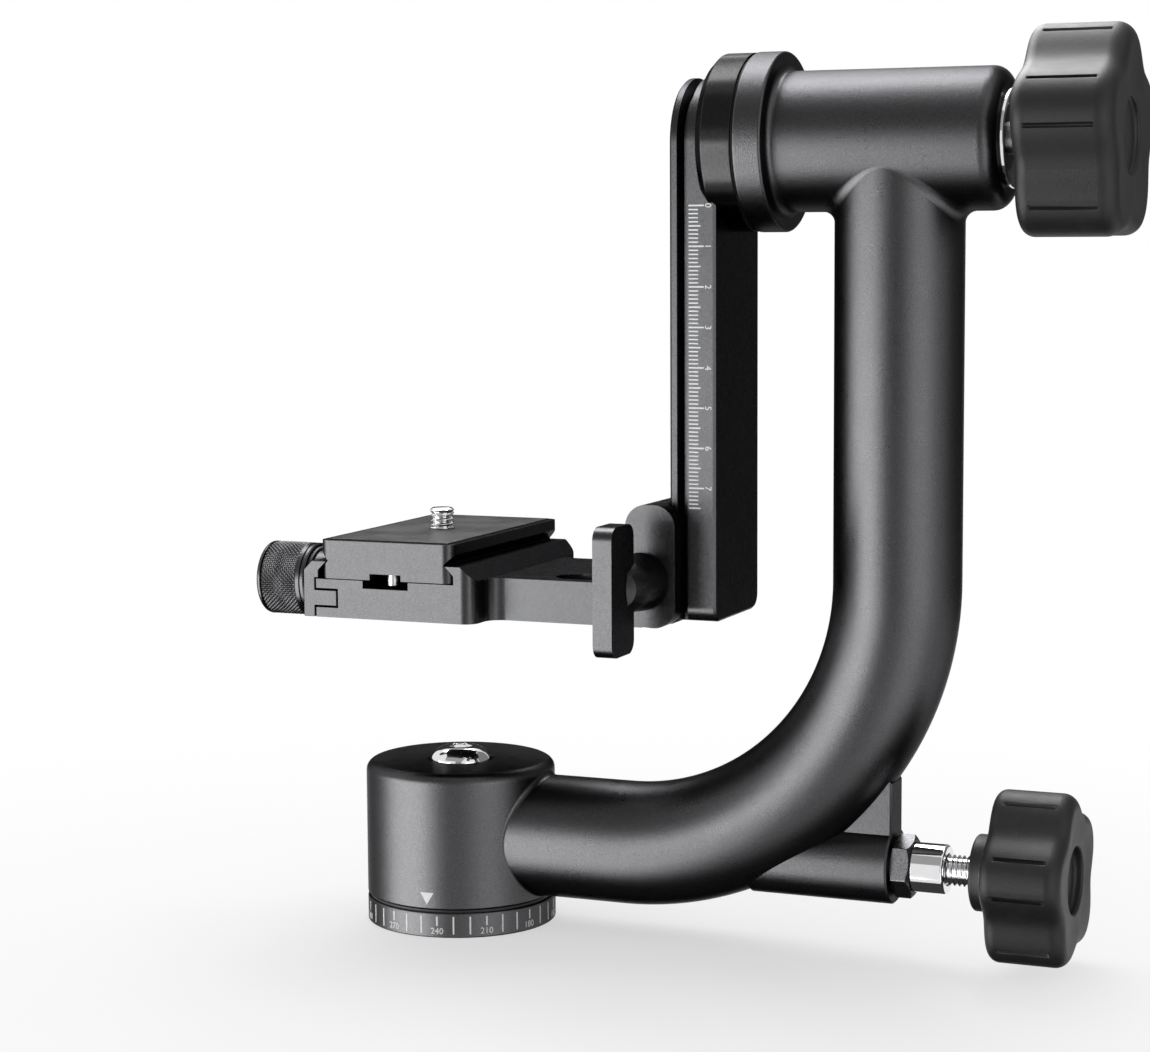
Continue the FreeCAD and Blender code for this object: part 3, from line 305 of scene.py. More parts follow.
def blackMetal(name, facts):
    # Dark anodised or coated aluminium: a dark metal whose reflection stays dark at its edges,
    # with a fine sandy grain and slow changes of gloss.
    material, graph = newGraph(name)
    place = graph.place()
    grain = noise(graph, place, facts["grain"], 3.0, 0.65)
    patches = noise(graph, place, facts["patch"], 2.0)
    fleck = noise(graph, place, facts["grain"] * 0.6, 1.0)
    tone = mixColour(graph, fleck.ramp(0.35, 0.75), grey(facts["colour"] * 0.8, facts["blue"]),
                     grey(facts["colour"] * 1.22, facts["blue"]))
    bump = graph.add("Bump", None, {"Strength": 0.6, "Distance": facts["grainDepth"] * mm * 10,
                                    "Height": grain})
    roughness = (facts["roughness"] + (patches - 0.5) * (facts["patchShare"] * 2)
                 + (fleck - 0.5) * 0.06)
    graph.principled({
        "Base Color": tone, "Metallic": 1.0, "Roughness": roughness,
        "Specular Tint": grey(facts["edgeTint"]), "Normal": bump})
    return material


rubberFacts = {"colour": 0.010, "roughness": 0.50, "grain": 0.36, "grainDepth": 0.10, "dust": 0.006}


def hardRubber(name, facts):
    # Matt black rubber with a fine leathery grain and a trace of dust in the open faces.
    material, graph = newGraph(name)
    place = graph.place()
    grain = noise(graph, place, facts["grain"], 3.0, 0.6)
    wear = noise(graph, place, 4.0, 3.0)
    tone = mixColour(graph, wear.ramp(0.45, 0.8) * 0.6, grey(facts["colour"], 1.03),
                     grey(facts["colour"] + facts["dust"], 1.03))
    bump = graph.add("Bump", None, {"Strength": 0.55, "Distance": facts["grainDepth"] * mm,
                                    "Height": grain})
    graph.principled({
        "Base Color": tone, "Roughness": facts["roughness"] + (wear - 0.5) * 0.12,
        "Specular IOR Level": 0.34, "Normal": bump})
    return material


brightFacts = {"colour": 0.78, "roughness": 0.07, "lineSize": 0.09}


def brightMetal(name, facts, axis=0):
    # Plated or turned steel: fine turning lines run round the given axis.
    material, graph = newGraph(name)
    place = graph.place()
    along = graph.add("SeparateXYZ", None, {0: place}, output=axis)
    lines = graph.add("TexNoise", {"noise_dimensions": "1D"},
                      {"W": along, "Scale": 1 / (facts["lineSize"] * mm), "Detail": 1.0})
    smear = noise(graph, place, 3.0, 2.0)
    bump = graph.add("Bump", None, {"Strength": 0.25, "Distance": 0.002 * mm, "Height": lines})
    graph.principled({
        "Base Color": mixColour(graph, smear, grey(facts["colour"] * 0.93, 1.01),
                                grey(facts["colour"], 1.02)),
        "Metallic": 1.0, "Roughness": facts["roughness"] + (smear - 0.5) * 0.05, "Normal": bump})
    return material


def paint(name, tone, roughness):
    # Screen-printed paint with slightly uneven cover.
    material, graph = newGraph(name)
    place = graph.place()
    cover = noise(graph, place, 0.25, 2.0)
    graph.principled({
        "Base Color": mixColour(graph, cover.ramp(0.25, 0.6), grey(tone * 0.85), grey(tone)),
        "Roughness": roughness + (cover - 0.5) * 0.1})
    return material


def sheetRubber(name):
    # The plate's rubber face: a fine pressed weave of shallow ribs.
    material, graph = newGraph(name)
    place = graph.place()
    across = graph.add("SeparateXYZ", None, {0: place}, output=0)
    ribs = graph.add("Math", {"operation": "SINE"}, {0: across * (fullTurn / (0.9 * mm))})
    grain = noise(graph, place, 0.35, 3.0)
    smudge = noise(graph, place, 9.0, 3.0)
    bump = graph.add("Bump", None, {"Strength": 0.5, "Distance": 0.03 * mm,
                                    "Height": ribs * 0.25 + grain})
    graph.principled({
        "Base Color": mixColour(graph, smudge.ramp(0.4, 0.75), grey(0.008), grey(0.022)),
        "Roughness": 0.46 + (smudge - 0.5) * 0.4, "Specular IOR Level": 0.16, "Normal": bump})
    return material


casting = blackMetal("charcoal powder coat", coatedMetal)
milled = blackMetal("satin black anodised", milledMetal)
polished = blackMetal("polished black anodised", polishedBlack)
handleBlack = blackMetal("semi gloss black anodised", dict(milledMetal, colour=0.070))
oxide = blackMetal("black oxide steel", dict(milledMetal, colour=0.16, grain=0.4))
knobRubber = hardRubber("hard rubber", rubberFacts)
nylon = hardRubber("black nylon", dict(rubberFacts, colour=0.012, dust=0.004))
padRubber = sheetRubber("ribbed sheet rubber")
chrome = brightMetal("chrome plate", brightFacts)
chromeUp = brightMetal("chrome plate, upright", brightFacts, 2)
steel = brightMetal("turned steel", dict(brightFacts, colour=0.56, roughness=0.24))
brass = brightMetal("plain brass", dict(brightFacts, colour=0.5, roughness=0.3))
whitePaint = paint("white paint", 0.86, 0.5)
ringPaint = paint("pale grey paint", 0.84, 0.5)
print("materials made")

slotMaterials = {
    "casting": casting, "machined": milled, "disc": polished, "knob": knobRubber,
    "handle": handleBlack, "pad": padRubber, "dark_washer": nylon, "brake": brass,
    "dark_steel": oxide, "bright": chrome, "steel": steel}
for subpart in frame["record"]["subparts"]:
    solid = frame["nodes"][subpart["node"]]
    solid.data.materials.clear()
    solid.data.materials.append(slotMaterials[subpart["material_slot"]])


# Base ring with its dial

baseRing = {
    "radius": drumRadius, "height": 6.6, "edge": 0.45, "insert": 8.0, "insertDepth": 12.0,
    "shoulder": 12.0, "bearingFoot": 8.6, "spindle": 10.0, "spindleTop": 39.4,
    "screwHole": 4.0, "screwFoot": 26.9}


def makeBaseRing(s):
    outline = [
        (s["insertDepth"], 0), (s["insertDepth"], s["insert"]), (0, s["insert"]),
        (0, s["radius"], s["edge"]), (s["height"], s["radius"], s["edge"]),
        (s["height"], s["shoulder"]), (s["bearingFoot"], s["shoulder"]),
        (s["bearingFoot"], s["spindle"]), (s["spindleTop"], s["spindle"]),
        (s["spindleTop"], s["screwHole"]), (s["screwFoot"], s["screwHole"]), (s["screwFoot"], 0)]
    piece = lathe("baseRing", outline, "z", columns=192)
    return finishPiece(piece, "base", casting, ["base_plate"])


makeBaseRing(baseRing)

dialMarks = {
    "radius": drumRadius, "lift": 0.03, "facing240": -79.9, "high": 5.7, "longLow": 1.0,
    "shortLow": 3.2, "tickWidth": 0.42, "textSize": 2.35, "textMiddle": 1.85, "textWeight": 0.02}


def blocks(centres, halves, axes):
    # Closed boxes: eight corners each, at a centre plus or minus its half sizes along its axes.
    signs = np.array([[a, b, c] for a in (-1, 1) for b in (-1, 1) for c in (-1, 1)], float)
    corners = centres[:, None, :] + np.einsum("cs,ns,nsk->nck", signs, halves, axes)
    faces = np.array([[0, 1, 3, 2], [4, 6, 7, 5], [0, 4, 5, 1], [2, 3, 7, 6], [0, 2, 6, 4],
                      [1, 5, 7, 3]])
    every = (faces[None] + 8 * np.arange(len(centres))[:, None, None]).reshape(-1, 4)
    return corners.reshape(-1, 3), every


def wordPoints(text, size, weight):
    # A word's solid mesh in mm, centred on its own box, reading along x with its top along y.
    curve = bpy.data.curves.new("word", "FONT")
    curve.body = text
    curve.size = size
    curve.extrude = weight
    curve.resolution_u = 3
    curve.align_x, curve.align_y = "CENTER", "CENTER"
    writer = bpy.data.objects.new("word", curve)
    bpy.context.collection.objects.link(writer)
    settled = bpy.context.evaluated_depsgraph_get()
    mesh = bpy.data.meshes.new_from_object(writer.evaluated_get(settled))
    bpy.data.objects.remove(writer)
    points = np.empty(len(mesh.vertices) * 3)
    mesh.vertices.foreach_get("co", points)
    points = points.reshape(-1, 3)
    faces = [list(face.vertices) for face in mesh.polygons]
    bpy.data.meshes.remove(mesh)
    middle = (points.min(0) + points.max(0)) / 2
    return points - middle, faces


def gather(parts):
    # Joins several (points, faces) into one list of each.
    points, faces, count = [], [], 0
    for spots, quads in parts:
        points.append(spots)
        faces.extend([[index + count for index in face] for face in quads])
        count += len(spots)
    return np.concatenate(points), faces


def makeDialMarks(s):
    # A mark at reading n stands at the angle facing240 + 240 - n round the ring.
    readings = np.arange(0, 360, 10)
    turn = np.radians(s["facing240"] + 240 - readings)
    low = np.where(readings % 30 == 0, s["shortLow"], s["longLow"])
    outward = np.stack([np.cos(turn), np.sin(turn), 0 * turn], 1)
    aside = np.stack([-np.sin(turn), np.cos(turn), 0 * turn], 1)
    upward = np.zeros_like(outward) + (0, 0, 1)
    centres = outward * s["radius"] + upward * ((s["high"] + low) / 2)[:, None]
    halves = np.stack([0 * turn + s["lift"], 0 * turn + s["tickWidth"] / 2,
                       (s["high"] - low) / 2], 1)
    parts = [blocks(centres, halves, np.stack([outward, aside, upward], 1))]
    for reading in readings[readings % 30 == 0]:
        points, faces = wordPoints(str(reading), s["textSize"], s["textWeight"])
        angle = math.radians(s["facing240"] + 240 - reading) + points[:, 0] / s["radius"]
        out = s["radius"] + 0.01 + points[:, 2]
        parts.append((np.stack([out * np.cos(angle), out * np.sin(angle),
                                s["textMiddle"] + points[:, 1]], 1), faces))
    points, faces = gather(parts)
    piece = pieceFrom("dialMarks", points, faces, 30.0, 0.00005)
    return finishPiece(piece, "base", ringPaint)


makeDialMarks(dialMarks)
print("base done")


# Panning housing, its fillet and index mark

housing = {
    "radius": drumRadius, "foot": 7.4, "top": 43.0, "footEdge": 0.6, "topEdge": 2.7,
    "screwHole": 8.6, "holeEdge": 0.5, "screwBed": 41.3, "washerHole": 12.0, "bearingTop": 39.4,
    "bearingBore": 16.0}


def makeHousing(s):
    outline = [
        (s["foot"], s["bearingBore"]), (s["foot"], s["radius"], s["footEdge"]),
        (s["top"], s["radius"], s["topEdge"]), (s["top"], s["screwHole"], s["holeEdge"]),
        (s["screwBed"], s["screwHole"]), (s["screwBed"], s["washerHole"]),
        (s["bearingTop"], s["washerHole"]), (s["bearingTop"], s["bearingBore"])]
    piece = lathe("housing", outline, "z", columns=256, closed=True, steps=8)
    return finishPiece(piece, "arm", casting, ["pan_housing"])


makeHousing(housing)


def rollingFillet(name, middles, firstTouch, secondTouch, inner, columns=9):
    # The arc from one touching point to the other round each middle, closed by a point inside.
    share = np.linspace(0, 1, columns)[:, None, None]
    first, second = firstTouch - middles, secondTouch - middles
    reach = np.linalg.norm(first, axis=-1, keepdims=True)
    reaches = reach * np.linalg.norm(second, axis=-1, keepdims=True)
    cosine = np.sum(first * second, -1, keepdims=True) / reaches
    swing = np.arccos(np.clip(cosine, -1, 1))
    arc = (np.sin((1 - share) * swing) * first + np.sin(share * swing) * second) / np.sin(swing)
    rows = np.concatenate([middles + arc, inner[None]], 0)
    return gridPiece(name, rows, True, 60.0)


housingFillet = {
    "housing": drumRadius, "tube": tubeRadius, "height": tubeHeight, "lowRound": 0.45,
    "highRound": 1.5, "sunk": 0.012, "inside": 1.2, "columns": 160}


def makeHousingFillet(s):
    # A ball of the fillet's size rolls round the tube and rests against the drum. It grows from
    # the tube's underside to its top.
    turn = turnSteps(s["columns"])
    ball = s["lowRound"] + (s["highRound"] - s["lowRound"]) * (0.5 + 0.5 * np.sin(turn)) ** 0.5
    y = (s["tube"] + ball) * np.cos(turn)
    z = s["height"] + (s["tube"] + ball) * np.sin(turn)
    x = np.sqrt((s["housing"] + ball) ** 2 - y ** 2)
    middles = np.stack([x, y, z], 1)
    tubeSide = s["tube"] - s["sunk"]
    onTube = np.stack([x, tubeSide * np.cos(turn), s["height"] + tubeSide * np.sin(turn)], 1)
    share = (s["housing"] - s["sunk"]) / (s["housing"] + ball)
    onHousing = np.stack([x * share, y * share, z], 1)
    deep = s["tube"] - s["inside"]
    inner = np.stack([np.sqrt((s["housing"] - s["inside"]) ** 2 - (deep * np.cos(turn)) ** 2),
                      deep * np.cos(turn), s["height"] + deep * np.sin(turn)], 1)
    piece = rollingFillet("housingFillet", middles, onHousing, onTube, inner)
    return finishPiece(piece, "arm", casting)


makeHousingFillet(housingFillet)

indexMark = {"radius": drumRadius, "angle": -86.0, "tip": 8.7, "top": 11.9, "width": 3.7,
             "lift": 0.03, "columns": 9}


def makeIndexMark(s):
    # A triangle wrapped on the drum: its width grows evenly from the tip to the top.
    rows = np.linspace(0.001, 1, 4)[:, None]
    across = np.linspace(-0.5, 0.5, s["columns"])[None, :]
    angle = np.radians(s["angle"]) + across * rows * s["width"] / s["radius"]
    height = s["tip"] + (s["top"] - s["tip"]) * rows + 0 * across
    sheets = [np.stack([(s["radius"] + side * s["lift"]) * np.cos(angle),
                        (s["radius"] + side * s["lift"]) * np.sin(angle), height], -1)
              for side in (1, -1)]
    loop = np.concatenate([sheets[0], sheets[1][:, ::-1]], 1)
    faces = gridFaces(loop.shape[0], loop.shape[1], False).tolist()
    columns = loop.shape[1]
    faces.append(list(range(columns)))
    faces.append(list(range((loop.shape[0] - 1) * columns, loop.shape[0] * columns)))
    piece = pieceFrom("indexMark", loop, faces, 30.0, 0.0001)
    return finishPiece(piece, "arm", whitePaint)


makeIndexMark(indexMark)

axleScrew = {"low": 40.9, "edge": 0.4, "radius": 8.0, "side": 42.2, "top": 46.3, "rim": 3.3,
             "socket": 5.0, "socketFloor": 43.9, "shank": 4.0, "foot": 26.9, "columns": 144}


def makeAxleScrew(s):
    # A quarter ellipse makes the dome, and a hexagon the socket's wall.
    sweep = np.linspace(0, math.pi / 2, 16)
    dome = np.stack([s["side"] + (s["top"] - s["side"]) * np.sin(sweep),
                     s["rim"] + (s["radius"] - s["rim"]) * np.cos(sweep)], 1)
    below = [(s["foot"], 0), (s["foot"], s["shank"]), (s["low"], s["shank"]),
             (s["low"], s["radius"] - s["edge"]), (s["low"] + s["edge"], s["radius"])]
    outer = np.concatenate([np.array(below), dome], 0)
    grid = turned(outer, s["columns"], "z", (0, 0, 0))
    angle = turnSteps(s["columns"])
    reach = hexagonReach(angle, s["socket"])
    depths = [(s["top"] - 0.15, 1.08), (s["top"] - 0.5, 1.0), (s["socketFloor"], 1.0),
              (s["socketFloor"] - 0.3, 0.9), (s["socketFloor"] - 0.3, 0.0)]
    rows = [np.stack([share * reach * np.cos(angle), share * reach * np.sin(angle),
                      0 * angle + height], 1) for height, share in depths]
    grid = np.concatenate([grid, np.array(rows)], 0)
    piece = evenShading(gridPiece("axleScrew", grid, sharp=38.0))
    return finishPiece(piece, "base", chromeUp, ["pan_axle_screw"])


makeAxleScrew(axleScrew)
print("housing done")


# Bent tube and pivot barrel

armTube = {
    "outer": tubeRadius, "inner": 13.0, "height": tubeHeight, "bend": 72.0, "reach": mastReach,
    "pivot": swingHeight,
    "inHousing": 20.6, "inBarrel": 15.6, "columns": 128, "bendRows": 72}


def makeArmTube(s):
    # A ring swept along X, round the bend and up the mast. The first and last rings are cut to
    # lie inside the drum's and the barrel's round walls.
    turn = turnSteps(s["columns"])[None, :]
    bendStart, bendTop = s["reach"] - s["bend"], s["height"] + s["bend"]
    sweep = np.linspace(0, math.pi / 2, s["bendRows"])[:, None]
    walls = []
    for radius in (s["outer"], s["inner"]):
        aside, outward = radius * np.cos(turn), radius * np.sin(turn)
        bend = np.stack([bendStart + (s["bend"] + outward) * np.sin(sweep), aside + 0 * sweep,
                         bendTop - (s["bend"] + outward) * np.cos(sweep)], -1)
        inDrum = np.sqrt(s["inHousing"] ** 2 - aside ** 2)
        first = np.stack([inDrum, aside, s["height"] - outward], -1)
        level = first + (bend[:1] - first) * np.linspace(0, 1, 9)[:-1, None, None]
        inBarrel = s["pivot"] - np.sqrt(np.maximum(s["inBarrel"] ** 2 - aside ** 2, 0))
        last = np.stack([s["reach"] + outward, aside, inBarrel], -1)
        mast = bend[-1:] + (last - bend[-1:]) * np.linspace(0, 1, 17)[1:, None, None]
        walls.append(np.concatenate([level, bend, mast], 0))
    loop = np.concatenate([walls[0], walls[1][::-1]], 0)
    return finishPiece(gridPiece("armTube", loop, True), "arm", casting, ["bent_tube"])


makeArmTube(armTube)

barrel = {
    "start": 84.6, "end": 148.2, "flange": 22.3, "flangeWidth": 7.5, "flangeEdge": 1.4, "neck": 3.4,
    "radius": barrelRadius, "endRound": 4.0, "bore": 14.0, "chamberStart": 139.0, "chamber": 10.0,
    "chamberEnd": 144.6, "bush": 8.0}


def makeBarrel(s):
    flangeEnd = s["start"] + s["flangeWidth"]
    outline = [
        (s["start"], s["bore"]), (s["start"], s["flange"], s["flangeEdge"] * 0.6),
        (flangeEnd, s["flange"], s["flangeEdge"]), (flangeEnd, s["radius"] + s["neck"], 0.0),
        (flangeEnd, s["radius"], s["neck"]), (s["end"], s["radius"], s["endRound"]),
        (s["end"], s["bush"]), (s["chamberEnd"], s["bush"]), (s["chamberEnd"], s["chamber"]),
        (s["chamberStart"], s["chamber"]), (s["chamberStart"], s["bore"])]
    piece = lathe("barrel", outline, "x", (0, 0, swingHeight), 256, True, 10)
    return finishPiece(piece, "arm", casting, ["pivot_barrel"])


makeBarrel(barrel)

crotchFillet = {
    "barrel": barrelRadius, "mast": tubeRadius, "reach": mastReach, "pivot": swingHeight,
    "ball": 3.4, "sunk": 0.012, "inside": 1.0, "columns": 160}


def makeCrotchFillet(s):
    # A ball rolls round the mast and rests against the barrel's underside.
    turn = turnSteps(s["columns"])
    x = s["reach"] + (s["mast"] + s["ball"]) * np.cos(turn)
    y = (s["mast"] + s["ball"]) * np.sin(turn)
    drop = np.sqrt((s["barrel"] + s["ball"]) ** 2 - y ** 2)
    middles = np.stack([x, y, s["pivot"] - drop], 1)
    onMast = np.stack([s["reach"] + (s["mast"] - s["sunk"]) * np.cos(turn),
                       (s["mast"] - s["sunk"]) * np.sin(turn), s["pivot"] - drop], 1)
    share = (s["barrel"] - s["sunk"]) / (s["barrel"] + s["ball"])
    onBarrel = np.stack([x, y * share, s["pivot"] - drop * share], 1)
    deep = s["mast"] - s["inside"]
    deepDrop = np.sqrt((s["barrel"] - s["inside"]) ** 2 - (deep * np.sin(turn)) ** 2)
    inner = np.stack([s["reach"] + deep * np.cos(turn), deep * np.sin(turn),
                      s["pivot"] - deepDrop], 1)
    piece = rollingFillet("crotchFillet", middles, onBarrel, onMast, inner, 13)
    return finishPiece(piece, "arm", casting)


makeCrotchFillet(crotchFillet)
print("arm done")


# Lock boss with its nut, collar and threaded stud

finishPiece(softened("lockBoss", "lock_boss", 0.45), "arm", casting, ["lock_boss"])

lockNut = {"start": 121.0, "end": 126.0, "flats": 14.0, "height": tubeHeight, "bore": 4.0,
           "slope": 0.58, "turn": 0.26, "columns": 180}


def makeLockNut(s):
    # The nut's reach is the smaller of its hexagon and a cone at each end. Its rows lie closer
    # together at the ends.
    angle = turnSteps(s["columns"])[None, :]
    hexagon = hexagonReach(angle, s["flats"], s["turn"])
    depth = np.array([0, 0.08, 0.2, 0.35, 0.5, 0.7, 0.9, 1.1, 1.3, 2.5])
    along = np.concatenate([s["start"] + depth[:-1], s["end"] - depth[::-1]])[:, None]
    fromEnd = np.minimum(along - s["start"], s["end"] - along)
    reach = np.minimum(hexagon, s["flats"] / 2 - 0.1 + fromEnd / s["slope"])
    bore = np.full((1, s["columns"]), s["bore"])
    reach = np.concatenate([bore, reach, bore], 0)
    along = np.concatenate([along[:1], along, along[-1:]], 0) + 0 * reach
    grid = aroundX(along, reach, angle, s["height"])
    piece = evenShading(gridPiece("lockNut", grid, True, 22.0))
    return finishPiece(piece, "arm", oxide, ["lock_nut"])


makeLockNut(lockNut)

lockCollar = {"start": 126.0, "end": 134.5, "radius": 6.25, "bore": 4.0, "edge": 0.7,
              "height": tubeHeight}


def makeLockCollar(s):
    outline = [
        (s["start"], s["bore"]), (s["start"], s["radius"], s["edge"] / 2),
        (s["end"], s["radius"], s["edge"]), (s["end"], s["bore"], 0.3),
        (s["end"] - 1.0, s["bore"])]
    piece = lathe("lockCollar", outline, "x", (0, 0, s["height"]), 144, True, 6)
    return finishPiece(piece, "arm", chrome, ["lock_collar"])


makeLockCollar(lockCollar)

panStud = {"start": 80.05, "end": 164.0, "radius": 3.94, "pitch": 1.25, "depth": 0.66,
           "height": tubeHeight, "threadStart": 127.0, "threadEnd": 147.0, "columns": 48,
           "rowsPerTurn": 12}


def threadDepth(along, angle, pitch, depth):
    # A saw of crests and roots that moves one pitch along for each turn, with flattened tips.
    phase = (along / pitch - angle / fullTurn) % 1.0
    return depth * np.clip(np.abs(2 * phase - 1) * 1.35 - 0.12, 0, 1)


def threadedRows(s, start, end):
    # The thread fades in and out over one pitch at its ends.
    angle = turnSteps(s["columns"])[None, :]
    along = np.linspace(start, end, int((end - start) / s["pitch"] * s["rowsPerTurn"]))[:, None]
    fade = np.clip((along - start) / s["pitch"], 0, 1) * np.clip((end - along) / s["pitch"], 0, 1)
    depth = threadDepth(along, angle, s["pitch"], s["depth"])
    return along + 0 * angle, s["radius"] - fade * depth, angle


def makePanStud(s):
    along, reach, angle = threadedRows(s, s["threadStart"], s["threadEnd"])
    along, reach = withEnds([(s["start"], 0), (s["start"], s["radius"])], along, reach,
                            [(s["end"], s["radius"]), (s["end"], 0)])
    piece = gridPiece("panStud", aroundX(along, reach, angle, s["height"]), sharp=50.0)
    return finishPiece(piece, "pan_knob", chrome, ["pan_knob_stud"])


makePanStud(panStud)


# Five-lobed knobs

panKnob = {
    "name": "panKnob", "node": "pan_knob", "height": tubeHeight, "neckStart": 141.7, "start": 147.0,
    "end": 167.0, "radius": 21.9, "neck": 9.6, "recess": 8.3, "recessDepth": 2.9, "lobeAngle": 98.0,
    "backRound": 2.8, "frontRound": 3.6, "dish": 0.5}
tiltKnob = {
    "name": "tiltKnob", "node": "tilt_knob", "height": swingHeight, "neckStart": 151.6,
    "start": 153.7, "end": 178.1, "radius": 26.8, "neck": 8.6, "recess": 9.2,
    "recessDepth": 2.08, "lobeAngle": 90.5, "backRound": 3.2, "frontRound": 4.4, "dish": 0.6}
knobShape = {
    "lobes": 5, "depth": 0.17, "crown": 1.15, "grooveAngle": 13.2, "grooveWidth": 1.05,
    "grooveDepth": 1.0, "grooveEnd": 3.6, "neckRound": 0.8, "neckFlare": 0.5, "lipRound": 0.7,
    "floorRound": 1.0, "columns": 250}


def lobedReach(angle, k, shape):
    # The reach falls from each lobe to the valleys beside it as a power of the squared sine of
    # half the lobe count times the angle; a power above one keeps the crowns broad.
    swing = np.sin(shape["lobes"] / 2 * (angle - math.radians(k["lobeAngle"]))) ** 2
    return k["radius"] * (1 - shape["depth"] * swing ** shape["crown"])


def nearest(angle, centres):
    # The angle from each column to the groove nearest to it, either way round.
    return np.abs((angle[:, None] - centres[None, :] + math.pi) % fullTurn - math.pi).min(1)


def knobColumns(k, shape):
    # Even columns, and close ones across each groove.
    even = turnSteps(shape["columns"])
    half = shape["grooveWidth"] / 2
    close = np.array([-1.5, -1.15, -1.0, -0.86, -0.6, -0.3, 0,
                      0.3, 0.6, 0.86, 1.0, 1.15, 1.5]) * half / k["radius"]
    sides = np.radians([-shape["grooveAngle"], shape["grooveAngle"]])
    lobes = math.radians(k["lobeAngle"]) + fullTurn / shape["lobes"] * np.arange(shape["lobes"])
    centres = (lobes[:, None] + sides[None, :]).reshape(-1) % fullTurn
    even = even[nearest(even, centres) > 1.9 * half / k["radius"]]
    fine = (centres[:, None] + close[None, :]).reshape(-1) % fullTurn
    return np.sort(np.concatenate([even, fine])), centres


def makeKnob(k, shape):
    # Rows run from the neck over the back face, round the back edge, along the lobes, round the
    # front edge and over the dished front face into the recess.
    angle, centres = knobColumns(k, shape)
    reach = lobedReach(angle, k, shape)
    rows = []

    def ring(along, radius):
        rows.append((along, radius + 0 * angle))

    neck, start, end = k["neck"], k["start"], k["end"]
    neckRound, flare = shape["neckRound"], shape["neckFlare"]
    ring(k["neckStart"], 0)
    ring(k["neckStart"], neck - 1.5 * neckRound)
    for step in np.linspace(0, math.pi / 2, 6):
        ring(k["neckStart"] + neckRound * (1 - math.cos(step)),
             neck - neckRound + neckRound * math.sin(step))
    ring(start - flare, neck)
    ring(start, neck + flare)
    back, front = k["backRound"], k["frontRound"]
    for share in (0.15, 0.5, 0.85, 0.98):
        ring(start, (neck + flare) * (1 - share) + (reach - back) * share)
    for step in np.linspace(0, math.pi / 2, 10):
        rows.append((start + back * (1 - math.cos(step)), reach - back + back * math.sin(step)))
    gap, half = nearest(angle, centres) * k["radius"], shape["grooveWidth"] / 2
    across = np.clip((half * 1.08 - gap) / (half * 0.3), 0, 1)
    cut = shape["grooveDepth"] * across * across * (3 - 2 * across)
    edge = shape["grooveEnd"]
    for along, share in (
            (start + edge - 0.25, 0), (start + edge, 0.2), (start + edge + 0.25, 0.8),
            (start + edge + 0.5, 1), ((start + end) / 2, 1), (end - edge - 1.0, 1),
            (end - edge - 0.6, 0.75), (end - edge - 0.1, 0.2), (end - edge + 0.3, 0)):
        if start + back < along < end - front + 0.2:
            rows.append((along, reach - cut * share))
    for step in np.linspace(0, math.pi / 2, 12):
        rows.append((end - front * (1 - math.sin(step)), reach - front + front * math.cos(step)))
    lipRound, floorRound, dish = shape["lipRound"], shape["floorRound"], k["dish"]
    lip = k["recess"] + lipRound
    for share in (0.04, 0.3, 0.6, 0.9, 1.0):
        rows.append((end - dish * math.sin(share * math.pi / 2) ** 2,
                     (reach - front) * (1 - share) + lip * share))
    for step in np.linspace(0, math.pi / 2, 6)[1:]:
        ring(end - dish - lipRound * (1 - math.cos(step)), lip - lipRound * math.sin(step))
    floor = end - k["recessDepth"]
    for step in np.linspace(0, math.pi / 2, 6):
        ring(floor + floorRound * (1 - math.sin(step)),
             k["recess"] - floorRound + floorRound * math.cos(step))
    ring(floor, 3.0)
    ring(floor, 0)
    along = np.array([row[0] + 0 * angle for row in rows])
    radius = np.array([row[1] for row in rows])
    piece = gridPiece(k["name"], aroundX(along, radius, angle, k["height"]), sharp=50.0)
    return finishPiece(piece, k["node"], knobRubber, [k["node"]])


makeKnob(panKnob, knobShape)
makeKnob(tiltKnob, knobShape)
print("knobs done")

# The tilt lock's threaded bush

tiltBush = {"start": 144.6, "face": 148.2, "end": 149.6, "sleeve": 8.0, "flange": 12.2, "bore": 4.0}


def makeTiltBush(s):
    outline = [
        (s["start"], s["bore"]), (s["start"], s["sleeve"]), (s["face"], s["sleeve"]),
        (s["face"], s["flange"], 0.1), (s["end"], s["flange"], 0.5), (s["end"], s["bore"])]
    piece = lathe("tiltBush", outline, "x", (0, 0, swingHeight), 144, True)
    return finishPiece(piece, "arm", chrome, ["tilt_lock_bush"])


makeTiltBush(tiltBush)


# Swing disc, ruled rail and its stop screw

swingDisc = {"start": 74.5, "end": 83.9, "rimEnd": 84.2, "radius": 22.15, "bevel": 2.2, "edge": 0.5,
             "bore": 10.0, "washer": 21.7}


def makeSwingDisc(s):
    outline = [
        (s["start"], s["bore"]), (s["start"], s["radius"] - s["bevel"], 0.8),
        (s["start"] + s["bevel"], s["radius"], 0.8), (s["rimEnd"], s["radius"], s["edge"]),
        (s["rimEnd"], s["washer"], 0.1), (s["end"], s["washer"]), (s["end"], s["bore"])]
    piece = lathe("swingDisc", outline, "x", (0, 0, swingHeight), 256, True, 6, 50.0)
    return finishPiece(piece, "swing", polished, ["swing_disc"])


makeSwingDisc(swingDisc)
finishPiece(softened("ruledRail", "rail", 0.35), "swing", milled, ["rail"])

rulerMarks = {
    "face": -16.3, "zero": 189.2, "left": 71.55, "centimetre": 4.0, "half": 3.1, "millimetre": 2.5,
    "thickness": 0.32, "lift": 0.03, "count": 75, "textLeft": 76.7, "textSize": 2.35,
    "textWeight": 0.02}


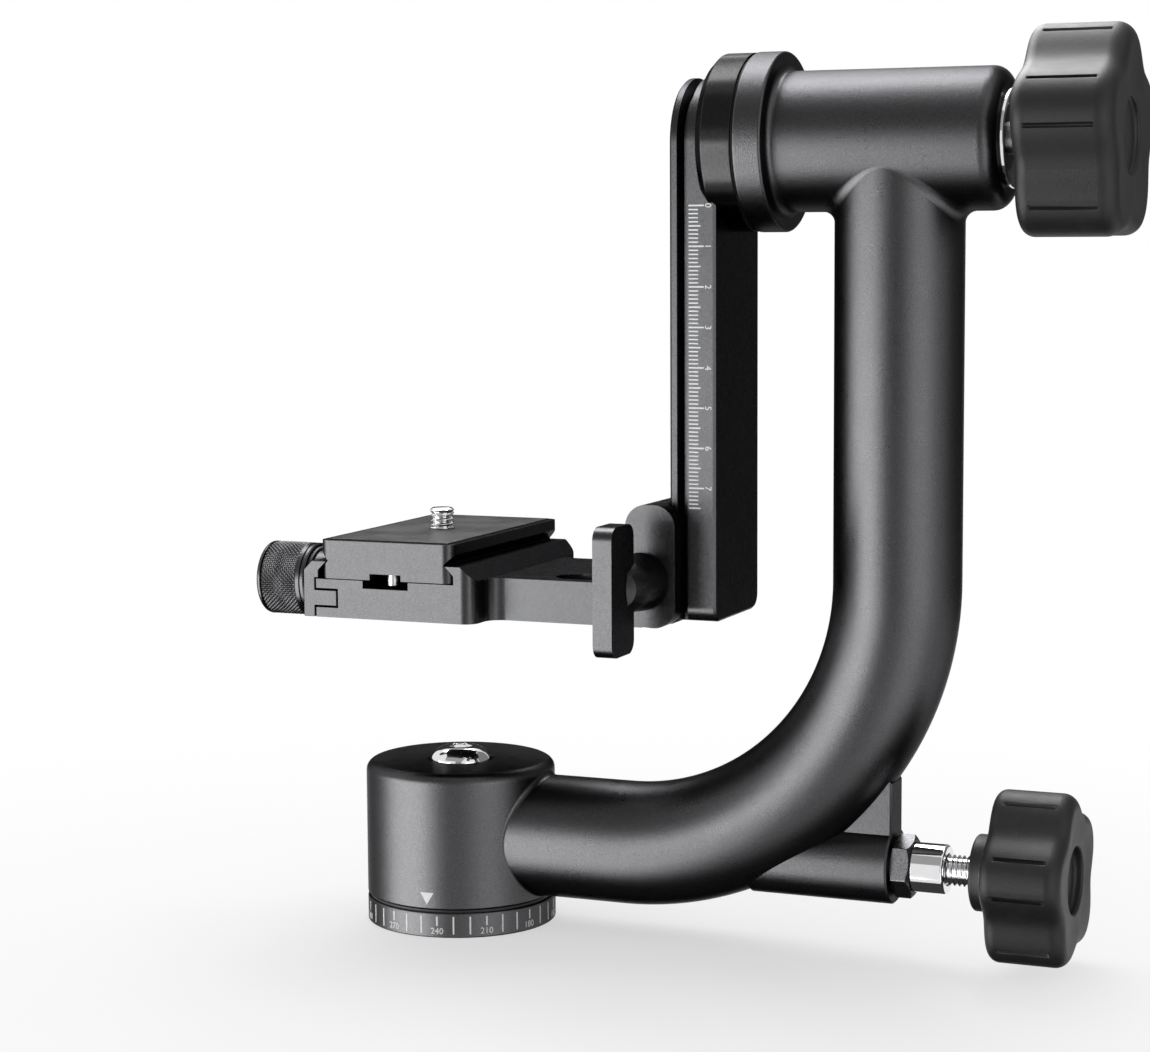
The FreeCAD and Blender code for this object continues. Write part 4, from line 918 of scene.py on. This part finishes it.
def makeRulerMarks(s):
    # One line for each millimetre, longer at each half and whole centimetre, counted downwards.
    step = np.arange(s["count"] + 1)
    length = np.where(step % 10 == 0, s["centimetre"],
                      np.where(step % 5 == 0, s["half"], s["millimetre"]))
    centres = np.stack([s["left"] + length / 2, 0 * step + s["face"], s["zero"] - step], 1)
    thick = np.where(step % 5 == 0, s["thickness"] * 1.15, s["thickness"])
    halves = np.stack([length / 2, 0 * step + s["lift"], thick / 2], 1)
    axes = np.repeat(np.eye(3)[None], len(step), 0)
    parts = [blocks(centres, halves, axes)]
    for reading in range(8):
        points, faces = wordPoints(str(reading), s["textSize"], s["textWeight"])
        spots = np.stack([s["textLeft"] + points[:, 1], s["face"] - 0.01 - points[:, 2],
                          s["zero"] - reading * 10 - points[:, 0]], 1)
        parts.append((spots, faces))
    points, faces = gather(parts)
    piece = pieceFrom("rulerMarks", points, faces, 30.0, 0.00005)
    return finishPiece(piece, "swing", whitePaint)


makeRulerMarks(rulerMarks)
finishPiece(softened("railStopScrew", "rail_stop_screw", 0.2), "swing", oxide,
            ["rail_stop_screw"])
print("rail done")


# Platform, clamp and plate, and the base's insert

for name, node, width, body, slot in (
        ("platformArm", "platform_arm", 0.45, "platform", "machined"),
        ("railJaw", "rail_jaw", 0.5, "rail_jaw", "machined"),
        ("railHandle", "rail_handle", 0.6, "rail_handle", "handle"),
        ("plateJaw", "plate_jaw", 0.35, "plate_jaw", "machined"),
        ("releasePlate", "release_plate", 0.4, "release_plate", "machined"),
        ("platePad", "plate_pad", 0.15, "release_plate", "pad"),
        ("plateKnobWasher", "plate_knob_washer", 0.2, "plate_knob", "dark_washer"),
        ("frontStopScrew", "plate_stop_screw_front", 0.15, "release_plate", "steel"),
        ("rearStopScrew", "plate_stop_screw_rear", 0.15, "release_plate", "steel"),
        ("tripodInsert", "tripod_insert", 0.25, "base", "steel")):
    finishPiece(softened(name, node, width), body, slotMaterials[slot], [node])

plateKnob = {
    "start": -56.3, "end": -41.7, "radius": 9.9, "height": 89.4, "edge": 1.0, "smoothEnd": 2.6,
    "smoothStart": 1.3, "dish": 5.2, "dishDepth": 0.5, "ridge": 1.2, "depth": 0.46, "columns": 416,
    "rowsPerRidge": 8}


def makePlateKnob(s):
    # Diamond knurling: the reach follows the root of the product of two helical waves that cross,
    # each the size of the sine of half the ridge count times the angle, plus or minus pi times the
    # place along over the ridge's width.
    angle = turnSteps(s["columns"])[None, :]
    count = round(fullTurn * s["radius"] / s["ridge"])
    low, high = s["start"] + s["smoothStart"], s["end"] - s["smoothEnd"]
    along = np.linspace(low, high, int((high - low) / s["ridge"] * s["rowsPerRidge"]))[:, None]
    wave = along / s["ridge"] * math.pi
    crossing = np.abs(np.sin(count * angle / 2 + wave)) * np.abs(np.sin(count * angle / 2 - wave))
    fade = np.clip((along - low) / 0.5, 0, 1) * np.clip((high - along) / 0.5, 0, 1)
    reach = s["radius"] - s["depth"] + s["depth"] * fade * np.sqrt(crossing)
    edge = s["edge"]
    back = [(s["start"] + s["dishDepth"], 0), (s["start"] + s["dishDepth"], s["dish"]),
            (s["start"], s["dish"] + 0.7)]
    back += [(s["start"], s["radius"] - edge - 0.3)]
    back += [(s["start"] + edge * (1 - math.cos(t)), s["radius"] - edge + edge * math.sin(t))
             for t in np.linspace(0, math.pi / 2, 7)]
    back += [(low - 0.1, s["radius"])]
    front = [(high + 0.1, s["radius"] - 0.1), (s["end"] - 1.5, s["radius"] - 0.1),
             (s["end"] - 1.4, s["radius"] - 0.5), (s["end"] - 1.1, s["radius"] - 0.5),
             (s["end"] - 1.0, s["radius"] - 0.1), (s["end"] - 0.3, s["radius"] - 0.1),
             (s["end"], s["radius"] - 0.4), (s["end"], 3.0), (s["end"] - 1.0, 0)]
    along, reach = withEnds(back, along, reach, front)
    piece = gridPiece("plateKnob", aroundX(along, reach, angle, s["height"]), sharp=40.0)
    return finishPiece(piece, "plate_knob", handleBlack, ["plate_knob"])


makePlateKnob(plateKnob)

cameraScrew = {
    "middle": -4.7, "headLow": 94.9, "headHigh": 98.3, "headEdge": 0.4, "head": 8.0, "neck": 2.5,
    "foot": 104.8, "top": 110.2, "radius": 3.17, "pitch": 1.27, "depth": 0.6, "columns": 64,
    "rowsPerTurn": 14, "tip": 0.5}


def makeCameraScrew(s):
    along, reach, angle = threadedRows(s, s["foot"], s["top"] - s["tip"])
    edge, tip = s["headEdge"], s["radius"] - s["tip"]
    below = [(s["headLow"], 0), (s["headLow"], s["head"] - edge), (s["headLow"] + edge, s["head"]),
             (s["headHigh"] - edge, s["head"]), (s["headHigh"], s["head"] - edge),
             (s["headHigh"], s["neck"]), (s["foot"], s["neck"])]
    above = [(s["top"] - 0.15, tip + 0.1), (s["top"], tip - 0.1), (s["top"], 0)]
    along, reach = withEnds(below, along, reach, above)
    grid = np.stack([s["middle"] + reach * np.cos(angle), reach * np.sin(angle), along], -1)
    piece = gridPiece("cameraScrew", grid, sharp=45.0)
    return finishPiece(piece, "camera_screw", chromeUp, ["camera_screw"])


makeCameraScrew(cameraScrew)
print("platform done")


# Camera, floor, light cards and lamps

view = {"place": (311.486, -654.211, 183.848), "turn": 23.008, "dip": 6.202, "roll": -0.346,
        "lens": 85.83, "sensor": 36.0}


def makeCamera(s):
    # turn, dip and roll in degrees and place in mm, as fitted to the photograph.
    turn, dip, roll = (math.radians(s[key]) for key in ("turn", "dip", "roll"))
    ahead = Vector((-math.sin(turn) * math.cos(dip), math.cos(turn) * math.cos(dip),
                    -math.sin(dip)))
    right = Vector((math.cos(turn), math.sin(turn), 0))
    upward = right.cross(ahead)
    right, upward = (right * math.cos(roll) + upward * math.sin(roll),
                     upward * math.cos(roll) - right * math.sin(roll))
    data = bpy.data.cameras.new("photo view")
    data.lens, data.sensor_width, data.sensor_fit = s["lens"], s["sensor"], "HORIZONTAL"
    data.clip_start, data.clip_end = 0.01, 50
    camera = bpy.data.objects.new("photo view", data)
    place = Matrix((right, upward, -ahead)).transposed().to_4x4()
    place.translation = Vector(s["place"]) * mm
    camera.matrix_world = place
    bpy.context.collection.objects.link(camera)
    bpy.context.scene.camera = camera


makeCamera(view)

floorFacts = {"half": 6.0, "shadowNear": 0.07, "shadowFar": 0.34, "tone": 0.97,
              "shadowShare": 0.45}


def makeFloor(s):
    # Pale floor that keeps the shadow near the object and fades into the white background.
    half = s["half"]
    mesh = bpy.data.meshes.new("floor")
    mesh.from_pydata([(-half, -half, 0), (half, -half, 0), (half, half, 0), (-half, half, 0)], [],
                     [(0, 1, 2, 3)])
    floor = showMesh("floor", mesh)
    floor.visible_glossy = False
    material, graph = newGraph("pale floor")
    place = graph.place()
    away = graph.add("VectorMath", {"operation": "LENGTH"}, {0: place}, output=1)
    near = 1 - away.ramp(s["shadowNear"], s["shadowFar"])
    pale = graph.add("BsdfDiffuse", None, {"Color": grey(s["tone"])})
    white = graph.add("Emission", None, {"Color": grey(1.0), "Strength": 1.0})
    shader = graph.add("MixShader", None, {
        0: graph.seen() * (1 - near * s["shadowShare"]), 1: pale, 2: white})
    graph.finish(shader)
    mesh.materials.append(material)


makeFloor(floorFacts)


worldStrength = 0.42


def makeWorld(strength):
    # Dim to the rays that light the object, and white to those that see the background.
    world = bpy.data.worlds.new("studio")
    bpy.context.scene.world = world
    world.use_nodes = True
    graph = Graph(world.node_tree)
    dim = graph.add("Background", None, {"Color": grey(0.95), "Strength": strength})
    white = graph.add("Background", None, {"Color": grey(1.0), "Strength": 1.0})
    graph.finish(graph.add("MixShader", None, {0: graph.seen(), 1: dim, 2: white}), "OutputWorld")


makeWorld(worldStrength)

lamps = {
    "key": {"azimuth": -135.0, "distance": 0.95, "low": 0.005, "high": 0.21, "width": 1.02,
            "radiance": 6.6},
    "front": {"azimuth": -33.0, "distance": 0.95, "low": 0.005, "high": 0.28, "width": 0.66,
              "radiance": 2.0},
    "top": {"azimuth": 128.5, "distance": 0.33, "centre": 0.71, "tall": 0.56, "width": 0.56,
            "radiance": 3.6}}
aim = Vector((0.07, 0.0, 0.12))


def makeLamp(name, s):
    # Sizes in metres. An upright lamp stands just over the floor and faces the object; one with a
    # centre height is tilted to it. An area lamp's power is its radiance times pi times its area.
    azimuth = math.radians(s["azimuth"])
    tall = s.get("tall", s.get("high", 0) - s.get("low", 0))
    height = s.get("centre", (s.get("high", 0) + s.get("low", 0)) / 2)
    data = bpy.data.lights.new(name, "AREA")
    data.shape, data.size, data.size_y = "RECTANGLE", s["width"], tall
    data.energy = s["radiance"] * math.pi * s["width"] * tall
    lamp = bpy.data.objects.new(name, data)
    place = Vector((aim.x + s["distance"] * math.cos(azimuth),
                    aim.y + s["distance"] * math.sin(azimuth), height))
    target = Vector((aim.x, aim.y, aim.z + 0.06 if "centre" in s else height))
    lamp.location = place
    lamp.rotation_euler = (target - place).to_track_quat("-Z", "Y").to_euler()
    lamp.visible_camera = False
    bpy.context.collection.objects.link(lamp)


for lampName, facts in lamps.items():
    makeLamp(lampName, facts)

cards = {
    "rightCard": {"azimuth": 48.0, "distance": 0.45, "height": 0.30, "width": 0.60, "tall": 0.62,
                  "glow": 0.24},
    "backCard": {"azimuth": 116.0, "distance": 0.50, "height": 0.18, "width": 0.56, "tall": 0.36,
                 "glow": 0.04},
    "gapCard": {"azimuth": -78.0, "distance": 0.93, "height": 0.29, "width": 0.40, "tall": 0.62,
                "glow": 0.3},
    "frontTopCard": {"azimuth": -100.0, "distance": 0.55, "height": 0.62, "width": 1.0,
                     "tall": 0.60, "tilt": 45.0, "glow": 0.4},
    "underCard": {"azimuth": 90.0, "distance": 0.15, "height": -0.45, "width": 1.2, "tall": 0.90,
                  "tilt": 90.0, "glow": 0.05},
    "keyBelow": {"azimuth": -135.0, "distance": 0.96, "height": -0.45, "width": 1.02, "tall": 0.9,
                 "glow": 6.6},
    "frontBelow": {"azimuth": -33.0, "distance": 0.96, "height": -0.45, "width": 0.66, "tall": 0.9,
                   "glow": 2.0},
    "topCard": {"azimuth": 128.5, "distance": 0.34, "height": 0.72, "width": 0.60, "tall": 0.56,
                "tilt": 58.0, "glow": 8.0}}


def makeCard(name, s):
    # A card that only reflections see, with sizes in metres. A dark one keeps the metal's contrast,
    # and a bright one carries a lamp's reflection on below the floor or over the object.
    azimuth, tilt = math.radians(s["azimuth"]), math.radians(s.get("tilt", 0.0))
    outward = Vector((math.cos(azimuth), math.sin(azimuth), 0))
    aside = Vector((-outward.y, outward.x, 0)) * s["width"] / 2
    upward = (Vector((0, 0, math.cos(tilt))) - outward * math.sin(tilt)) * s["tall"] / 2
    middle = Vector((aim.x, aim.y, s["height"])) + outward * s["distance"]
    mesh = bpy.data.meshes.new(name)
    mesh.from_pydata([tuple(middle + aside * a + upward * b) for a, b in
                      ((-1, -1), (1, -1), (1, 1), (-1, 1))], [], [(0, 1, 2, 3)])
    material, graph = newGraph(name)
    graph.finish(graph.add("Emission", None, {"Color": grey(1.0), "Strength": s["glow"]}))
    mesh.materials.append(material)
    card = showMesh(name, mesh)
    card.visible_camera = False
    card.visible_diffuse = False
    card.visible_shadow = False
    card.visible_transmission = False


for cardName, facts in cards.items():
    makeCard(cardName, facts)

bpy.context.scene.view_settings.view_transform = "Standard"

print("scene ready")
